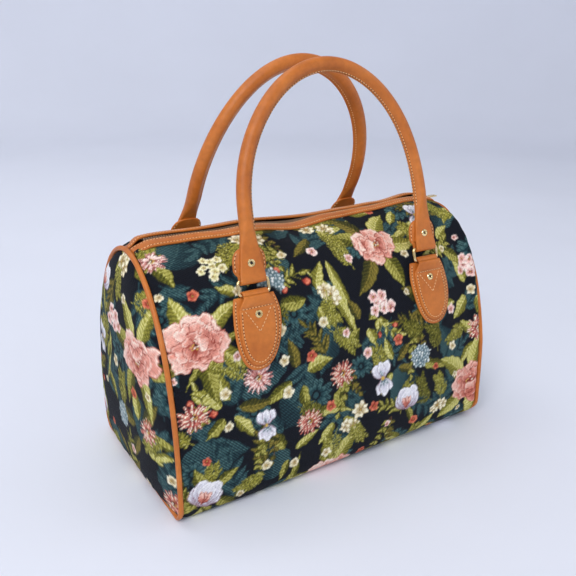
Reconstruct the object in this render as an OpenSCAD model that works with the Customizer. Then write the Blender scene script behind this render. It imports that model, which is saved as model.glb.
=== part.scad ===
// Soft tapestry duffel bag with rolled leather handles, a zipped top and piped ends.
// X runs along the bag, -Y is the front, +Z is up, and the base rests on Z = 0.

/* [Body] */
// Length between the two piped ends
bag_l = 380; // [340:1:420]
// Depth of the base at the piped ends
bag_d = 208; // [190:1:230]
// Height of the arch's crown in the middle of the bag
bag_h = 249; // [235:1:265]
// Power of the arch: 2 is an ellipse, more is squarer
arch_n = 2.6; // [2.3:0.1:3]
// How far the front and back stand out beyond the piped ends
side_bulge = 8; // [5:1:11]
// How far each end panel swells outwards
end_bulge = 16; // [10:1:19]
// How far the crown dips at the piped ends
top_drop = 8; // [5:1:10]
// How much fuller the shoulders stand in the middle of the bag
shoulder_fill = 5; // [2:1:6]
// Rounding of the lower edges
base_r = 14; // [12:1:20]
// Thickness of the quilted tapestry with its lining
fabric_t = 3; // [2.5:0.1:3.4]
// Thickness of the stiff board in the base
board_t = 2.5; // [2:0.1:4]

/* [Piping] */
// Radius of the leather piping round each end panel
piping_r = 3; // [2.5:0.1:3.5]
// How far the piping's centre lies under the cloth's face
piping_sink = 1; // [0.6:0.1:1.4]

/* [Zip] */
// Half width of the opening between the two tapestry edges
slot_half = 12; // [11.5:0.1:13]
// Half width of the gap between the leather bands
band_in = 5.5; // [5.3:0.1:6.5]
// Distance of each band's outer edge from the zip's middle
band_out = 20; // [18:0.5:23]
// Thickness of the leather bands
band_t = 2; // [1.6:0.1:2.4]
// Thickness of the zip tape
tape_t = 0.7; // [0.5:0.1:0.9]
// Distance of each end of the toothed chain from the piped end
chain_inset = 14; // [12:1:35]
// Width of one row of teeth
row_w = 3.2; // [2.8:0.1:3.4]
// Height of the teeth
tooth_h = 2.5; // [2:0.1:2.8]
// Spacing of the teeth along a row
tooth_pitch = 2.5; // [2:0.1:4]
// Length of the slider
slider_l = 13; // [10:0.5:16]
// Length of the pull tab
pull_l = 25; // [18:1:32]
// Width of the pull tab
pull_w = 7; // [6:0.5:8.5]

/* [Tabs] */
// Distance of each tab from the middle of the bag
tab_x = 104; // [90:1:115]
// Distance of the tab's middle below the crown
tab_drop = 80.5; // [71:0.5:89]
// Length of the leather backing
backing_l = 65; // [58:1:72]
// Width of the leather backing
backing_w = 49; // [44:1:56]
// How far the top of each tab stands off the cloth
tab_stand = 4; // [3:0.5:6]
// Width of the stitched border that the backing shows round the tongue
tab_border = 5; // [4:0.5:7]
// Thickness of each leather layer
leather_t = 2; // [1.6:0.1:2.4]
// Width of the strap loops at the rings
strap_w = 26; // [22:1:27]

/* [Rings] */
// Inside width of the rectangular rings
ring_w = 28; // [28:1:36]
// Distance between the centres of the two long sides of a ring
ring_rise = 13; // [12:0.5:18]
// Wire radius of the rings
wire_r = 1.5; // [1.2:0.1:1.8]

/* [Handles] */
// Diameter of the rolled handles
handle_d = 13.5; // [11:0.5:16]
// Height of the arch's top above the upper side of the rings
handle_rise = 195; // [165:1:215]
// Height of the straight legs below the arch
leg_l = 56; // [50:1:70]
// How far the front handle's top bends outwards from the line of its legs
front_curl = 5; // [0:1:12]
// How far the back handle's top bends outwards from the line of its legs
back_curl = 27; // [15:1:32]
// Distance of the front handle's top from the middle of the bag
front_top_y = 29; // [18:1:36]
// Distance of the back handle's top from the middle of the bag
back_top_y = 14; // [8:1:24]

/* [Hidden] */
$fn = 48;

tan_leather = "#B86A2E";
tapestry = "#1F2A36";
brass = "#D9B36A";
zip_brown = "#3A2A1C";
board_grey = "#6B6258";

// Clearances: between sewn layers, beside the piping, over the cloth, under the tabs, round the ring wire
layer_gap = 0.1;
seam_gap = 0.2;
skin_gap = 0.3;
tab_gap = 0.8;
wire_gap = 0.3;

half_l = bag_l / 2;
chain_l = bag_l - 2 * chain_inset;
panel_half_l = half_l - piping_r - seam_gap;
arch_w = bag_d / 2 + side_bulge;
tab_z = bag_h - tab_drop;
side_power = 4;
top_power = 16;
foot_share = 0.7;
foot_h = 42;
shoulder_up = 0.48;
shoulder_spread = 0.22;
loop_r = wire_r + wire_gap + leather_t;

function unit(v) = v / norm(v);
function smooth(t) = let (c = min(max(t, 0), 1)) c * c * (3 - 2 * c);
function spread(lo, hi, steps) = [for (i = [0:steps]) lo + (hi - lo) * i / steps];

// Half section of the body in the middle of the bag. Each entry is [distance from the middle plane,
// height, and the two parts of the outward normal].
function arch_at(a) =
    let (w = arch_w * cos(a), z = bag_h * pow(sin(a), 2 / arch_n),
         n = unit([2 * w / pow(arch_w, 2), arch_n * pow(z / bag_h, arch_n - 1) / bag_h]))
    [w, z, n[0], n[1]];
function angle_at_width(w) = acos(w / arch_w);
function angle_at_height(z) = asin(pow(z / bag_h, arch_n / 2));
function arch_run(a0, a1, steps) = [for (a = spread(a0, a1, steps)) arch_at(a)];
function lower_edge(steps) = [for (i = [1:steps])
    let (t = 90 * i / steps)
    [arch_w - base_r + base_r * cos(t), base_r - base_r * sin(t), cos(t), -sin(t)]];
function base_run(w_end, steps) = [for (i = [1:steps])
    [arch_w - base_r + (w_end - arch_w + base_r) * i / steps, 0, 0, -1]];
arch_foot = angle_at_height(base_r);

// A point on the front of the body at x, moved outwards by o. The ends draw in, the crown dips there, the
// lower edge runs straighter than the belly above it, and the shoulders are filled out between the ends.
function reach(x, power) = pow(abs(x) / half_l, power);
function skin_at(x, q, o) =
    let (up = max(q[3], 0),
         between = 1 - reach(x, side_power),
         foot = foot_share * exp(-pow(q[1] / foot_h, 2)),
         fill = shoulder_fill * between * exp(-pow((q[3] - shoulder_up) / shoulder_spread, 2)),
         draw = 1 - between * (1 - foot),
         d = side_bulge * draw * (1 - up * up) + top_drop * reach(x, top_power) * up * up - fill)
    [x, -(q[0] + q[2] * (o - d)), q[1] + q[3] * o - up * d];

// Stations along X, closer together towards the ends where the cloth turns in
function stations(reach_x, steps) = [for (i = [0:steps]) -reach_x * cos(180 * i / steps)];

function two_triangles(a, b, c, d) = [[a, b, c], [a, c, d]];
function flat(lists) = [for (l = lists) for (e = l) e];

// A sheet of cloth or leather that follows the body between two offsets from its face
module sheet(xs, section, outer, inner) {
    nx = len(xs);
    nq = len(section);
    points = [for (o = [outer, inner]) for (x = xs) for (q = section) skin_at(x, q, o)];
    function at(face, i, j) = face * nx * nq + i * nq + j;
    faces = flat(concat(
        [for (i = [0:nx - 2]) for (j = [0:nq - 2])
            two_triangles(at(0, i, j), at(0, i + 1, j), at(0, i + 1, j + 1), at(0, i, j + 1))],
        [for (i = [0:nx - 2]) for (j = [0:nq - 2])
            two_triangles(at(1, i, j), at(1, i, j + 1), at(1, i + 1, j + 1), at(1, i + 1, j))],
        [for (j = [0:nq - 2]) two_triangles(at(0, 0, j), at(0, 0, j + 1), at(1, 0, j + 1), at(1, 0, j))],
        [for (j = [0:nq - 2]) two_triangles(
            at(0, nx - 1, j + 1), at(0, nx - 1, j), at(1, nx - 1, j), at(1, nx - 1, j + 1))],
        [for (i = [0:nx - 2]) two_triangles(at(0, i + 1, 0), at(0, i, 0), at(1, i, 0), at(1, i + 1, 0))],
        [for (i = [0:nx - 2]) two_triangles(
            at(0, i, nq - 1), at(0, i + 1, nq - 1), at(1, i + 1, nq - 1), at(1, i, nq - 1))]
    ));
    polyhedron(points, faces, convexity = 6);
}

// A skin through rings of points, each ring seen clockwise from its start, with flat ends or joined round
module tube(rings, closed = false) {
    n = len(rings);
    m = len(rings[0]);
    points = [for (r = rings) for (p = r) p];
    walls = flat([for (i = [0:closed ? n - 1 : n - 2]) for (j = [0:m - 1])
        let (k = (i + 1) % n, l = (j + 1) % m)
        two_triangles(i * m + j, k * m + j, k * m + l, i * m + l)]);
    ends = closed ? [] : [[for (j = [0:m - 1]) j], [for (j = [m - 1:-1:0]) (n - 1) * m + j]];
    polyhedron(points, concat(walls, ends), convexity = 6);
}

// Main panels: each runs from the zip down one side and under the base to the seam in its middle

panel_section = concat(
    arch_run(angle_at_width(slot_half), arch_foot, 17), lower_edge(5), base_run(seam_gap / 2, 3));

module front_panel() {
    color(tapestry) sheet(stations(panel_half_l, 22), panel_section, 0, -fabric_t);
}

module back_panel() {
    mirror([0, 1, 0]) front_panel();
}

// End panels and their piping

// The rim of an end, once round from the crown: front, base and back, with its outward normals
half_rim = concat(arch_run(90, arch_foot, 19), lower_edge(5), base_run(0, 3));
function rim_at(q, o) = let (p = skin_at(half_l, q, o)) [p[1], p[2]];
function whole_rim(inset, inset_below) =
    let (front = [for (q = half_rim) let (below = max(-q[3], 0))
             rim_at(q, -inset - (inset_below - inset) * below)])
    concat(front, [for (i = [len(front) - 2:-1:1]) [-front[i][0], front[i][1]]]);
piping_rim = whole_rim(piping_sink, piping_r);

module piping() {
    sides = 8;
    n = len(piping_rim);
    color(tan_leather) tube([for (i = [0:n - 1])
        let (c = piping_rim[i],
             along = unit(piping_rim[(i + 1) % n] - piping_rim[(i + n - 1) % n]),
             out = [-along[1], along[0]])
        [for (k = [0:sides - 1]) let (t = 360 * k / sides)
            [half_l + piping_r * sin(t), c[0] + piping_r * cos(t) * out[0], c[1] + piping_r * cos(t) * out[1]]]
    ], closed = true);
}

module end_panel() {
    rim = whole_rim(piping_sink + piping_r + skin_gap, 2 * piping_r + skin_gap);
    rings = 7;
    swell_power = 3.6;
    middle = [0, 0.42 * bag_h];
    n = len(rim);
    function ring_at(s, shift) = [for (p = rim)
        [half_l + shift + end_bulge * (1 - pow(s, swell_power)), middle[0] + s * (p[0] - middle[0]),
         middle[1] + s * (p[1] - middle[1])]];
    shares = [for (k = [0:rings - 1]) 1 - pow(k / rings, 1.5)];
    skins = [for (s = shares) ring_at(s, fabric_t / 2)];
    backs = [for (s = shares) ring_at(s, -fabric_t / 2)];
    tip = half_l + end_bulge;
    points = concat(flat(skins), flat(backs),
        [[tip + fabric_t / 2, middle[0], middle[1]], [tip - fabric_t / 2, middle[0], middle[1]]]);
    function at(face, k, j) = (face * rings + k) * n + j % n;
    outer_tip = 2 * rings * n;
    faces = flat(concat(
        [for (k = [0:rings - 2]) for (j = [0:n - 1])
            two_triangles(at(0, k, j), at(0, k + 1, j), at(0, k + 1, j + 1), at(0, k, j + 1))],
        [for (k = [0:rings - 2]) for (j = [0:n - 1])
            two_triangles(at(1, k, j), at(1, k, j + 1), at(1, k + 1, j + 1), at(1, k + 1, j))],
        [for (j = [0:n - 1]) two_triangles(at(0, 0, j), at(0, 0, j + 1), at(1, 0, j + 1), at(1, 0, j))],
        [[for (j = [0:n - 1]) [at(0, rings - 1, j), outer_tip, at(0, rings - 1, j + 1)]]],
        [[for (j = [0:n - 1]) [at(1, rings - 1, j), at(1, rings - 1, j + 1), outer_tip + 1]]]
    ));
    color(tapestry) polyhedron(points, faces, convexity = 6);
}

module right_end_panel() { end_panel(); }
module left_end_panel() { mirror([1, 0, 0]) end_panel(); }
module right_piping() { piping(); }
module left_piping() { mirror([1, 0, 0]) piping(); }

// A stiff board that lies in the base and keeps it flat
module base_board() {
    board_corner = 18;
    board_margin = 12;
    board_x = panel_half_l - board_margin;
    board_y = bag_d / 2 - base_r - board_margin / 2;
    color(board_grey) translate([0, 0, fabric_t + skin_gap]) linear_extrude(board_t) union() {
        square([2 * board_x, 2 * (board_y - board_corner)], center = true);
        square([2 * (board_x - board_corner), 2 * board_y], center = true);
        for (sx = [-1, 1]) for (sy = [-1, 1])
            translate([sx * (board_x - board_corner), sy * (board_y - board_corner)]) circle(board_corner);
    }
}

// Zip: leather bands over the tapestry edges, tapes in the slot, toothed rows, slider and pull

band_section = arch_run(angle_at_width(band_in), angle_at_width(band_out), 6);

module front_zip_band() {
    color(tan_leather) sheet(stations(panel_half_l, 22), band_section, skin_gap + band_t, skin_gap);
}

module back_zip_band() {
    mirror([0, 1, 0]) front_zip_band();
}

// The straight zip hangs below the bands by as much as they dip at the ends of the chain
chain_dip = top_drop * reach(chain_l / 2, top_power);
tape_top = arch_at(angle_at_width(slot_half))[1] + skin_gap - chain_dip - layer_gap;
chain_z = tape_top - tape_t / 2;
neck_w = 0.8;
neck_slit = neck_w / 2 + 0.2;

module front_zip_tape() {
    tape_out = slot_half - 3 * skin_gap;
    tape_in = neck_slit + row_w;
    color(zip_brown) translate([-chain_l / 2, -tape_out, tape_top - tape_t])
        cube([chain_l, tape_out - tape_in - layer_gap, tape_t]);
}

module back_zip_tape() {
    mirror([0, 1, 0]) front_zip_tape();
}

// One row: a bead along the tape's edge with a comb of teeth towards the middle of the zip
module zip_row(shift) {
    bead = 1;
    tooth = 0.6 * tooth_pitch;
    count = floor((chain_l - tooth_pitch) / tooth_pitch);
    root = -(neck_slit + row_w - bead);
    tip = -neck_slit;
    start = -chain_l / 2 + shift;
    outline = concat(
        [[-chain_l / 2, root - bead], [-chain_l / 2, root]],
        [for (i = [0:count - 1]) let (x = start + 0.2 + i * tooth_pitch)
            each [[x, root], [x + 0.15 * tooth, tip], [x + 0.85 * tooth, tip], [x + tooth, root]]],
        [[chain_l / 2, root], [chain_l / 2, root - bead]]);
    color(zip_brown) translate([0, 0, chain_z - tooth_h / 2]) linear_extrude(tooth_h) polygon(outline);
}

module front_zip_teeth() { zip_row(0); }
module back_zip_teeth() { mirror([0, 1, 0]) zip_row(tooth_pitch / 2); }

// The slider waits at the closed right end. Two plates hold the rows, joined by a thin neck at its nose.
slider_x = chain_l / 2 - slider_l / 2 - 2;
slider_half_w = neck_slit + row_w + skin_gap + 0.8;
slider_plate = 1.2;
slider_top = chain_z + tooth_h / 2 + skin_gap + slider_plate;
pin_r = 0.6;
crown_half = 3.2;
crown_w = 1.6;
crown_t = 0.9;
pin_z = slider_top + 0.3 + pin_r;
crown_z = pin_z + pin_r + 0.3;

module slider_shape() {
    nose = 0.3 * slider_l;
    polygon([
        [-slider_l / 2, -0.8 * slider_half_w], [slider_l / 2 - nose, -slider_half_w],
        [slider_l / 2, -0.55 * slider_half_w], [slider_l / 2, 0.55 * slider_half_w],
        [slider_l / 2 - nose, slider_half_w], [-slider_l / 2, 0.8 * slider_half_w]
    ]);
}

module zip_slider() {
    neck_l = 3;
    color(brass) translate([slider_x, 0, 0]) union() {
        for (side = [-1, 1])
            translate([0, 0, chain_z + side * (tooth_h / 2 + skin_gap + slider_plate / 2) - slider_plate / 2])
                linear_extrude(slider_plate) slider_shape();
        translate([slider_l / 2 - neck_l - 0.5, -neck_w / 2, chain_z - tooth_h / 2 - slider_plate])
            cube([neck_l, neck_w, tooth_h + 2 * slider_plate]);
        translate([-crown_half, -crown_w / 2, crown_z]) cube([2 * crown_half, crown_w, crown_t]);
        for (side = [-1, 1])
            translate([side * (crown_half - crown_t / 2) - crown_t / 2, -crown_w / 2, slider_top - crown_t / 2])
                cube([crown_t, crown_w, crown_z + crown_t - slider_top + crown_t / 2]);
    }
}

// The pull hangs by its round bar under the slider's crown and lies out over the right end
module zip_pull() {
    window_l = crown_half + 1.4;
    window_half = crown_w / 2 + 0.5;
    plate_t = 2 * pin_r;
    hole_r = 1.5;
    neck = 0.35 * pull_w;
    waist = 0.7 * pull_l;
    color(brass) translate([slider_x, 0, pin_z]) union() {
        rotate([90, 0, 0]) cylinder(r = pin_r, h = 2 * neck, center = true);
        translate([0, 0, -plate_t / 2]) linear_extrude(plate_t) difference() {
            polygon([
                [0, -neck], [window_l, -neck], [waist, -pull_w / 2], [pull_l, -pull_w / 3],
                [pull_l, pull_w / 3], [waist, pull_w / 2], [window_l, neck], [0, neck]
            ]);
            translate([0, -window_half]) square([window_l, 2 * window_half]);
            translate([pull_l - 4, 0]) circle(hole_r);
        }
    }
}

// Tabs: each lies on a cylinder along X, through three points over the body's face. It starts on the cloth
// at the tip and stands off it at the ring.

function tab_face(z, off) = let (p = skin_at(tab_x, arch_at(angle_at_height(z)), off)) [p[1], p[2]];
function middle_of_circle(a, b, c) =
    let (d = 2 * (a[0] * (b[1] - c[1]) + b[0] * (c[1] - a[1]) + c[0] * (a[1] - b[1])),
         aa = a * a, bb = b * b, cc = c * c)
    [(aa * (b[1] - c[1]) + bb * (c[1] - a[1]) + cc * (a[1] - b[1])) / d,
     (aa * (c[0] - b[0]) + bb * (a[0] - c[0]) + cc * (b[0] - a[0])) / d];
tab_mid = tab_face(tab_z, 0.4 * tab_stand);
tab_c = middle_of_circle(
    tab_face(tab_z - backing_l / 2, 0), tab_mid, tab_face(tab_z + backing_l / 2, tab_stand));
tab_r = norm(tab_mid - tab_c);
tab_face_up = asin((tab_mid[1] - tab_c[1]) / tab_r);
backing_in = tab_r + tab_gap;
tongue_in = backing_in + leather_t + layer_gap;

// The ring's lower side lies in the loop just above the backing
rail_v = backing_l / 2 + loop_r + 0.7;
rail_n = sqrt(pow(backing_in + loop_r, 2) - pow(rail_v, 2));
tab_out = [-cos(tab_face_up), sin(tab_face_up)];
rail_yz = tab_c + rail_v * [tab_out[1], -tab_out[0]] + rail_n * tab_out;
function lean_for(top_y, curl) =
    let (stand = ring_rise + handle_rise)
    asin((-rail_yz[0] - top_y) / norm([stand, curl])) + atan(curl / stand);
front_lean = lean_for(front_top_y, front_curl);
back_lean = lean_for(back_top_y, back_curl);
eyelet_drop = 18.5;
eyelet_v = rail_v - eyelet_drop;
eyelet_r = 3.8;
eyelet_hole_r = 1.5;
shank_r = 2.1;
shank_hole_r = 2.4;

// Drawn flat, X stays X, Y goes up the leaning face and Z points out of it
module leaning(x, yz, lean) {
    translate([x, yz[0], yz[1]]) rotate([90 - lean, 0, 0]) children();
}

// A tongue-shaped outline: a round tip below, full shoulders, and a slightly narrower top edge
function tongue_outline(w, lo, hi, top_share) =
    let (shoulder = hi - 0.32 * (hi - lo), steps = 14)
    concat(
        [for (i = [0:steps]) let (t = 180 + 180 * i / steps)
            [w / 2 * sign(cos(t)) * pow(abs(cos(t)), 0.8), shoulder + (shoulder - lo) * sin(t)]],
        [for (i = [1:4]) let (t = i / 4)
            [w / 2 * (1 - (1 - top_share) * t * t), shoulder + (hi - shoulder) * t]],
        [for (i = [4:-1:1]) let (t = i / 4)
            [-w / 2 * (1 - (1 - top_share) * t * t), shoulder + (hi - shoulder) * t]]);

// A leather layer bent round the tab's cylinder and cut to an outline
module bent_layer(inner, outline) {
    intersection() {
        rotate([0, 90, 0]) difference() {
            cylinder(r = inner + leather_t, h = backing_w + 10, center = true, $fn = 180);
            cylinder(r = inner, h = backing_w + 12, center = true, $fn = 180);
        }
        translate([0, 0, inner - 20]) linear_extrude(40) polygon(outline);
    }
}

module shank_hole(v, n) {
    translate([0, v, n - 20]) cylinder(r = shank_hole_r, h = 40);
}

module backing(x) {
    color(tan_leather) leaning(x, tab_c, tab_face_up) difference() {
        bent_layer(backing_in, tongue_outline(backing_w, -backing_l / 2, backing_l / 2, 0.86));
        shank_hole(eyelet_v, tab_r);
    }
}

// The tongue's strap goes up round the ring's lower side and back down behind it
module tongue(x) {
    tongue_w = backing_w - 2 * tab_border;
    tongue_lo = tab_border - backing_l / 2;
    tongue_hi = backing_l / 2 - 3;
    color(tan_leather) leaning(x, tab_c, tab_face_up) difference() {
        union() {
            bent_layer(tongue_in, tongue_outline(tongue_w, tongue_lo, tongue_hi, strap_w / tongue_w));
            bent_layer(tongue_in, [
                [-strap_w / 2, tongue_hi - 2], [strap_w / 2, tongue_hi - 2],
                [strap_w / 2, rail_v], [-strap_w / 2, rail_v]]);
            translate([0, rail_v, rail_n]) rotate([0, 90, 0]) cylinder(r = loop_r, h = strap_w, center = true);
        }
        translate([0, rail_v, rail_n]) rotate([0, 90, 0])
            cylinder(r = wire_r + wire_gap, h = strap_w + 2, center = true);
        shank_hole(eyelet_v, tab_r);
    }
}

// A brass eyelet with a rolled rim, standing on Z = 0 with its shank below
module eyelet(shank_l) {
    rim_h = 1.2;
    rotate_extrude() union() {
        translate([eyelet_hole_r, -shank_l]) square([shank_r - eyelet_hole_r, shank_l + rim_h / 2]);
        polygon([
            [eyelet_hole_r, 0], [eyelet_r, 0], [eyelet_r, 0.35 * rim_h], [eyelet_r - 0.5, 0.8 * rim_h],
            [(eyelet_r + eyelet_hole_r) / 2, rim_h], [eyelet_hole_r + 0.4, 0.8 * rim_h],
            [eyelet_hole_r, 0.4 * rim_h]
        ]);
    }
}

module tab_eyelets() {
    tongue_face = sqrt(pow(tongue_in + leather_t, 2) - pow(eyelet_v, 2));
    color(brass) for (side = [-1, 1])
        leaning(side * tab_x, tab_c, tab_face_up)
            translate([0, eyelet_v, tongue_face + layer_gap]) rotate([asin(-eyelet_v / tongue_in), 0, 0])
                eyelet(2 * leather_t);
}

module front_left_backing() { backing(-tab_x); }
module front_right_backing() { backing(tab_x); }
module back_left_backing() { mirror([0, 1, 0]) backing(-tab_x); }
module back_right_backing() { mirror([0, 1, 0]) backing(tab_x); }
module front_left_tongue() { tongue(-tab_x); }
module front_right_tongue() { tongue(tab_x); }
module back_left_tongue() { mirror([0, 1, 0]) tongue(-tab_x); }
module back_right_tongue() { mirror([0, 1, 0]) tongue(tab_x); }
module front_tab_eyelets() { tab_eyelets(); }
module back_tab_eyelets() { mirror([0, 1, 0]) tab_eyelets(); }

// Rings: bent wire, standing in line with their handle
module ring(x, lean) {
    corner = 3;
    half_w = ring_w / 2 + wire_r;
    straight = half_w - corner;
    color(brass) leaning(x, rail_yz, lean) union() {
        for (v = [0, ring_rise])
            translate([0, v, 0]) rotate([0, 90, 0]) cylinder(r = wire_r, h = 2 * straight, center = true);
        for (side = [-1, 1]) {
            translate([side * half_w, corner, 0]) rotate([-90, 0, 0])
                cylinder(r = wire_r, h = ring_rise - 2 * corner);
            translate([side * straight, corner, 0]) rotate([0, 0, side > 0 ? 270 : 180])
                rotate_extrude(angle = 90) translate([corner, 0]) circle(wire_r);
            translate([side * straight, ring_rise - corner, 0]) rotate([0, 0, side > 0 ? 0 : 90])
                rotate_extrude(angle = 90) translate([corner, 0]) circle(wire_r);
        }
    }
}

module front_left_ring() { ring(-tab_x, front_lean); }
module front_right_ring() { ring(tab_x, front_lean); }
module back_left_ring() { mirror([0, 1, 0]) ring(-tab_x, back_lean); }
module back_right_ring() { mirror([0, 1, 0]) ring(tab_x, back_lean); }

// Handles: a flat strap folded round the ring, opening into a rolled tube with a sewn edge inside

strap_t = 2 * leather_t + 0.6;
patch_sink = 0.4;
strap_l = 26;
curl_from = strap_l + 4;
morph_l = 30;
seam_fin = 2.2;
handle_eyelet_v = 15;

// Route of the handle's middle line from the left leg over the top: [x, height]
function leg_run(steps) = spread(strap_l - 8, leg_l, steps);
function arch_route(steps) = [for (i = [0:steps]) let (t = 180 - 180 * i / steps)
    [tab_x * cos(t), leg_l + (handle_rise - leg_l) * sin(t)]];
leg_steps = 9;
left_leg = [for (v = leg_run(leg_steps)) [-tab_x, v]];
right_leg = [for (i = [leg_steps:-1:0]) [tab_x, leg_run(leg_steps)[i]]];
bow = arch_route(30);
route = concat(left_leg, [for (i = [1:len(bow) - 2]) bow[i]], right_leg);

// Section of the handle: a flat strap low on the legs, a round tube with a fin towards the inside above
function flat_section(n) = [for (k = [0:n - 1]) let (t = 360 * (k + 0.5) / n)
    [strap_w / 2 * sign(cos(t)) * pow(abs(cos(t)), 0.35), strap_t / 2 * sign(sin(t)) * pow(abs(sin(t)), 0.5)]];
function round_section(n) = [for (k = [0:n - 1]) let (t = 360 * (k + 0.5) / n, inside = max(-cos(t), 0))
    [handle_d / 2 * cos(t) - seam_fin * pow(inside, 8), handle_d / 2 * sin(t) * (1 - 0.3 * pow(inside, 4))]];

module handle(lean, curl) {
    sides = 14;
    n = len(route);
    low = flat_section(sides);
    high = round_section(sides);
    upper_rail = rail_yz + ring_rise * [sin(lean), cos(lean)];
    color(tan_leather) leaning(0, upper_rail, lean) difference() {
        union() {
            tube([for (i = [0:n - 1])
                let (c = route[i],
                     ahead = unit(route[min(i + 1, n - 1)] - route[max(i - 1, 0)]),
                     out = [-ahead[1], ahead[0]],
                     m = smooth((c[1] - strap_l) / morph_l),
                     off = curl * pow(max(c[1] - curl_from, 0) / (handle_rise - curl_from), 2))
                [for (k = [0:sides - 1])
                    let (p = low[k] * (1 - m) + high[k] * m)
                    [c[0] + p[0] * out[0], c[1] + p[0] * out[1], p[1] + off]]
            ]);
            for (side = [-1, 1]) translate([side * tab_x, 0, 0]) strap_end();
        }
        for (side = [-1, 1]) translate([side * tab_x, 0, 0]) {
            rotate([0, 90, 0]) cylinder(r = wire_r + wire_gap, h = strap_w + 20, center = true);
            shank_hole(handle_eyelet_v, 0);
        }
    }
}

// The folded end: a drop-shaped loop round the wire, with a wider stitched layer behind
module strap_end() {
    pinch = 10.5;
    patch_w = strap_w + 8;
    patch_lo = loop_r + 2;
    patch_hi = strap_l + 4;
    patch_r = 4;
    rotate([0, 90, 0]) linear_extrude(strap_w, center = true) polygon(concat(
        [for (i = [0:16]) let (t = 170 + 200 * i / 16) [loop_r * cos(t), loop_r * sin(t)]],
        [[strap_t / 2 + 0.05, pinch], [strap_t / 2 + 0.05, strap_l + 2],
         [-strap_t / 2 - 0.05, strap_l + 2], [-strap_t / 2 - 0.05, pinch]]));
    translate([0, 0, -strap_t / 2 - leather_t + patch_sink]) linear_extrude(leather_t) union() {
        translate([-patch_w / 2, patch_lo]) square([patch_w, patch_hi - patch_lo - patch_r]);
        translate([-patch_w / 2 + patch_r, patch_hi - patch_r - patch_sink])
            square([patch_w - 2 * patch_r, patch_r + patch_sink]);
        for (side = [-1, 1]) translate([side * (patch_w / 2 - patch_r), patch_hi - patch_r]) circle(patch_r);
    }
}

module handle_eyelets(lean) {
    upper_rail = rail_yz + ring_rise * [sin(lean), cos(lean)];
    color(brass) for (side = [-1, 1])
        leaning(side * tab_x, upper_rail, lean)
            translate([0, handle_eyelet_v, strap_t / 2 + 0.05 + layer_gap]) eyelet(strap_t);
}

module front_handle() { handle(front_lean, front_curl); }
module back_handle() { mirror([0, 1, 0]) handle(back_lean, back_curl); }
module front_handle_eyelets() { handle_eyelets(front_lean); }
module back_handle_eyelets() { mirror([0, 1, 0]) handle_eyelets(back_lean); }

front_panel();
back_panel();
left_end_panel();
right_end_panel();
left_piping();
right_piping();
base_board();
front_zip_band();
back_zip_band();
front_zip_tape();
back_zip_tape();
front_zip_teeth();
back_zip_teeth();
zip_slider();
zip_pull();
front_left_backing();
front_right_backing();
back_left_backing();
back_right_backing();
front_left_tongue();
front_right_tongue();
back_left_tongue();
back_right_tongue();
front_tab_eyelets();
back_tab_eyelets();
front_left_ring();
front_right_ring();
back_left_ring();
back_right_ring();
front_handle();
back_handle();
front_handle_eyelets();
back_handle_eyelets();
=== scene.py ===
import math

import bmesh
import bpy
import numpy as np
from mathutils import Matrix, Vector


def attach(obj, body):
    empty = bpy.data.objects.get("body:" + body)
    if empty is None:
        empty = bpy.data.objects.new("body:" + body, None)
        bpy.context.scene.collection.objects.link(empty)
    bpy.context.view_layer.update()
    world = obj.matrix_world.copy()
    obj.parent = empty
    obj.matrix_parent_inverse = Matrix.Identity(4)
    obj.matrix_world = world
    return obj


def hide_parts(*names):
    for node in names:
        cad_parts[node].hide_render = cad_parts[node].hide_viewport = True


# Soft tapestry duffel bag: woven floral panels, leather trim with thread stitching, brass hardware.
# Lengths here are millimetres in the bag's frame, and become metres where meshes are made.

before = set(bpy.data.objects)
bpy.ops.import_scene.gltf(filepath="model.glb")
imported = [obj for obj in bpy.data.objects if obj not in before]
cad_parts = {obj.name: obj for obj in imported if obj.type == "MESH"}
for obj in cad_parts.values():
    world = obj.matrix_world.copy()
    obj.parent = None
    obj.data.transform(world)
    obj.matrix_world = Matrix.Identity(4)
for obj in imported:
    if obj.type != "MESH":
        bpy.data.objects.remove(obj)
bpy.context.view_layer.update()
MM = 0.001
FULL_TURN = 2 * math.pi
WAVE_COUNT = 7
SIDES = ("front", "back")
MIRROR = {"front": np.array([1, 1, 1]), "back": np.array([1, -1, 1])}

# Driving dimensions, as in the solids

BAG_L, BAG_D, BAG_H = 380.0, 208.0, 249.0
ARCH_N = 2.6
SIDE_BULGE, END_BULGE, TOP_DROP = 8.0, 16.0, 8.0
BASE_R = 14.0
PIPING_R, PIPING_SINK = 3.0, 1.0
SLOT_HALF = 12.0
BAND_IN, BAND_OUT, BAND_T = 5.5, 20.0, 2.0
TAB_X, TAB_Z = 104.0, 168.5
BACKING_L, BACKING_W, TAB_BORDER = 65.0, 49.0, 5.0
LEATHER_T, STRAP_W = 2.0, 26.0
RING_RISE, WIRE_R = 13.0, 1.5
HANDLE_D, HANDLE_RISE, LEG_L = 13.5, 195.0, 56.0
HANDLE_CURL = {"front": 5.0, "back": 27.0}
HANDLE_TOP_Y = {"front": 29.0, "back": 14.0}
SKIN_GAP, WIRE_GAP, SEAM_GAP, LAYER_GAP, TAB_GAP = 0.3, 0.3, 0.2, 0.1, 0.8
FOOT_SHARE, FOOT_H = 0.7, 42.0
SHOULDER_FILL, SHOULDER_UP, SHOULDER_SPREAD = 5.0, 0.48, 0.22
TAB_STAND = 4.0

HALF_L = BAG_L / 2
PANEL_HALF_L = HALF_L - PIPING_R - SEAM_GAP
ARCH_W = BAG_D / 2 + SIDE_BULGE
LOOP_R = WIRE_R + WIRE_GAP + LEATHER_T

# Camera

EYE = (-388.6, -592.1, 422.6)
AIM = (-15.0, 0.0, 168.6)
LENS_MM, SENSOR_MM = 42.77, 36.0
ROLL_DEG = 0.72


# Plain helpers

def smooth(t):
    c = np.clip(t, 0, 1)
    return c * c * (3 - 2 * c)


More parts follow.
